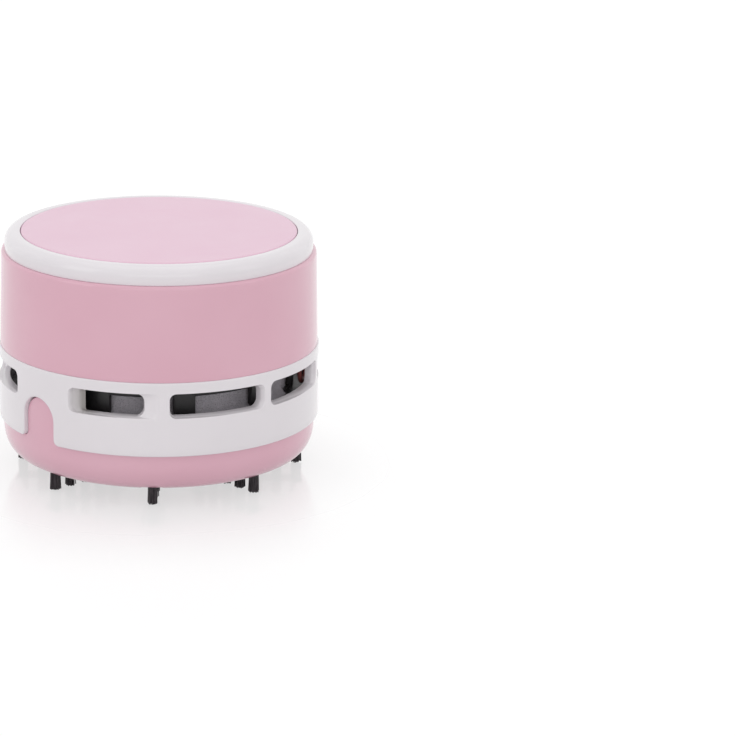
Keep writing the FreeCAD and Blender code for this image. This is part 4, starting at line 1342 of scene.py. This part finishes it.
def switch_knob():
    """Slide knob with three rounded ridges, soft edges and a stem through the window."""
    builder = Builder()
    low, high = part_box("switch_knob")
    seat = recess_floor + 0.15 * MM
    face = seat + 0.8 * MM
    half = (high.x - low.x) / 2
    middle = (low.z + high.z) / 2
    pitch = (high.z - low.z) / 4
    rounded, ridge, ridge_half = 0.35 * MM, 0.3 * MM, 0.42 * MM

    def face_point(x, z):
        edge = min(half - abs(x), z - low.z, high.z - z)
        drop = rise = 0.0
        if edge < rounded:
            drop = rounded - math.sqrt(max(0.0, rounded ** 2 - (rounded - edge) ** 2))
        for index in range(3):
            off = (z - low.z - (index + 1) * pitch) / ridge_half
            if abs(off) < 1:
                end = smoothstep(0.3 * MM, 0.9 * MM, half - abs(x))
                rise = max(rise, ridge * math.sqrt(1 - off * off) * end)
        return Vector((x, face - drop + rise, z))

    rows = [[face_point(x, z) for x in spread(-half, half, 49)]
            for z in spread(low.z, high.z, 61)]
    builder.grid(rows)
    border = rows[0] + [row[-1] for row in rows[1:]]
    border += list(reversed(rows[-1][:-1])) + [row[0] for row in reversed(rows[1:-1])]
    back = [Vector((p.x, seat, p.z)) for p in border]
    centre = Vector((0, seat, middle))
    builder.grid([border, back, [centre + (p - centre) * 0.05 for p in back],
                  [centre for _ in back]], closed=True)
    stem_half, stem_high = 1.5 * MM, 1.0 * MM
    ring = [(-stem_half, -stem_high), (stem_half, -stem_high), (stem_half, stem_high),
            (-stem_half, stem_high)]
    ends = [low.y, low.y, seat + 0.2 * MM, seat + 0.2 * MM]
    builder.grid([[Vector((x * grow, y, middle + z * grow)) for x, z in ring]
                  for y, grow in zip(ends, (0, 1, 1, 0))], closed=True)
    return builder.piece("switch_knob_cap", knob_plastic, sharp=50, merge=1e-6)


# ---------------------------------------------------------------- the object

def fit(piece, body, slot, *replaced):
    """The piece rides on its body and stands for its CAD nodes."""
    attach(piece, body)
    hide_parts(*replaced)
    return piece


fit(dust_tray(), "tray", "pink_plastic", "dust_tray")
brush_strips()
fit(vent_band(), "housing", "white_plastic", "vent_band")
fit(body_sleeve(), "housing", "pink_plastic", "body_sleeve")
fit(top_ring(), "lid", "white_plastic", "top_ring")
fit(top_disc(), "lid", "pink_plastic", "top_disc")
fit(fan_cage(), "housing", "black_plastic", "fan_cage")
foam_ring = fit(exhaust_filter(), "housing", "grey_foam", "exhaust_filter")
cloth_disc = fit(filter_mesh(), "housing", "filter_cloth", "filter_mesh")
fit(cell("battery_left", -1), "housing", "cell_jacket", "battery_left")
fit(cell("battery_right", 1), "housing", "cell_jacket", "battery_right")
fit(switch_knob(), "switch_slider", "knob_plastic", "switch_knob")

finishes = {
    "motor_deck": black, "battery_holder": black, "filter_frame": black, "impeller": black,
    "motor_can": motor_steel, "motor_end_cap": cap_plastic, "motor_terminals": terminal_brass,
    "motor_strap": strap_steel, "strap_screws": screw_steel, "holder_screws": screw_steel,
    "motor_shaft": shaft_steel, "positive_contact": contact_metal,
    "negative_contact": contact_metal, "bridge_contact": contact_metal,
    "switch_body": switch_plastic, "switch_terminals": terminal_brass,
    "red_lead": red_rubber, "black_lead": black_rubber, "switch_lead": black_rubber}
for name, material in finishes.items():
    mesh = frame["nodes"][name].data
    mesh.materials.clear()
    mesh.materials.append(material)


# ---------------------------------------------------------------- floor, light and world

def seen_directly(tree):
    """1 for what the camera sees, also in a mirror or through glass, and 0 for lighting."""
    rays = add(tree, "ShaderNodeLightPath").outputs
    seen = calc(tree, "MAXIMUM", rays["Is Camera Ray"], rays["Is Glossy Ray"])
    return calc(tree, "MAXIMUM", seen, rays["Is Transmission Ray"])


def grey(level):
    """Neutral linear colour."""
    return (level, level, level, 1.0)


def floor_material():
    """Polished pale floor that mirrors what stands near it, white where it is seen, with a
    painted shadow near the object where its glow is greyer.
    """
    mirror_end, white_start = 36 * MM, 95 * MM
    # shaded_glow is the greyer glow of the painted shadow near the object.
    lighting, paint, glow, shaded_glow = 0.74, 0.25, 0.74, 0.82
    material, tree, shader = new_material("polished floor", IOR=1.45)
    away = remap(tree, vector_calc(tree, "LENGTH", own_place(tree)), mirror_end, white_start,
                 interpolation_type="SMOOTHSTEP")
    seen = seen_directly(tree)
    # Painted shadow: the glow is greyer near the object and white further out, also where the
    # object mirrors the floor.
    feed(tree, shader,
         Base_Color=blend(tree, seen, grey(lighting), grey(paint)),
         Roughness=gloss(tree, calc(tree, "MULTIPLY_ADD", away, 0.5, 0.07), 0.04, 12.0),
         Emission_Color=blend(tree, away, grey(shaded_glow), grey(1.0)),
         Emission_Strength=calc(tree, "MULTIPLY", seen, glow))
    clear = tree.nodes.new("ShaderNodeBsdfTransparent")
    behind = add(tree, "ShaderNodeNewGeometry").outputs["Backfacing"]
    mixed = add(tree, "ShaderNodeMixShader", {
        0: behind, 1: shader.outputs[0], 2: clear.outputs[0]})
    feed(tree, tree.nodes["Material Output"], Surface=mixed.outputs[0])
    return material


def floor():
    """Wide round floor just under the bristle tips."""
    builder = Builder()
    height = -0.1 * MM
    rows = [[spot(TURN * step / 96, radius, height) for step in range(96)]
            for radius in (0, 0.2, 1.0, 4.0, 12.0)]
    builder.grid(rows, closed=True)
    piece = builder.piece("floor", floor_material(), merge=1e-4)
    for polygon in piece.data.polygons:
        if polygon.normal.z < 0:
            polygon.flip()


def world():
    """White surroundings where they are seen or mirrored, and a plain soft fill light."""
    scene_world = bpy.data.worlds.new("studio")
    bpy.context.scene.world = scene_world
    scene_world.use_nodes = True
    tree = scene_world.node_tree
    feed(tree, tree.nodes["Background"], Color=grey(1.0),
         Strength=remap(tree, seen_directly(tree), 0.0, 1.0, 0.8, 1.0))


def lamp(name, azimuth, distance, height, size, power):
    """Soft rectangular lamp that shines at the object and is not seen itself."""
    data = bpy.data.lights.new(name, "AREA")
    data.shape = "RECTANGLE"
    data.size, data.size_y = size
    data.energy = power
    piece = placed(name, data)
    place = spot(math.radians(azimuth), distance, height)
    aim = Vector((0, 0, 35 * MM))
    piece.matrix_world = Matrix.Translation(place) @ (
        (aim - place).to_track_quat("-Z", "Y").to_matrix().to_4x4())
    piece.visible_camera = False


floor()
world()
lamp("over lamp", 180, 0.1, 0.9, (0.8, 0.8), 0.6)
lamp("front lamp", 0, 1.2, 0.2, (1.2, 0.4), 0.9)
lamp("left lamp", -62, 1.0, 0.45, (0.5, 0.7), 0.8)
lamp("right lamp", 68, 1.0, 0.4, (0.4, 0.7), 0.42)
lamp("left edge lamp", -128, 0.7, 0.25, (0.27, 0.6), 0.06)
lamp("right edge lamp", 128, 0.7, 0.25, (0.27, 0.6), 0.06)

bpy.context.scene.view_settings.view_transform = "Standard"
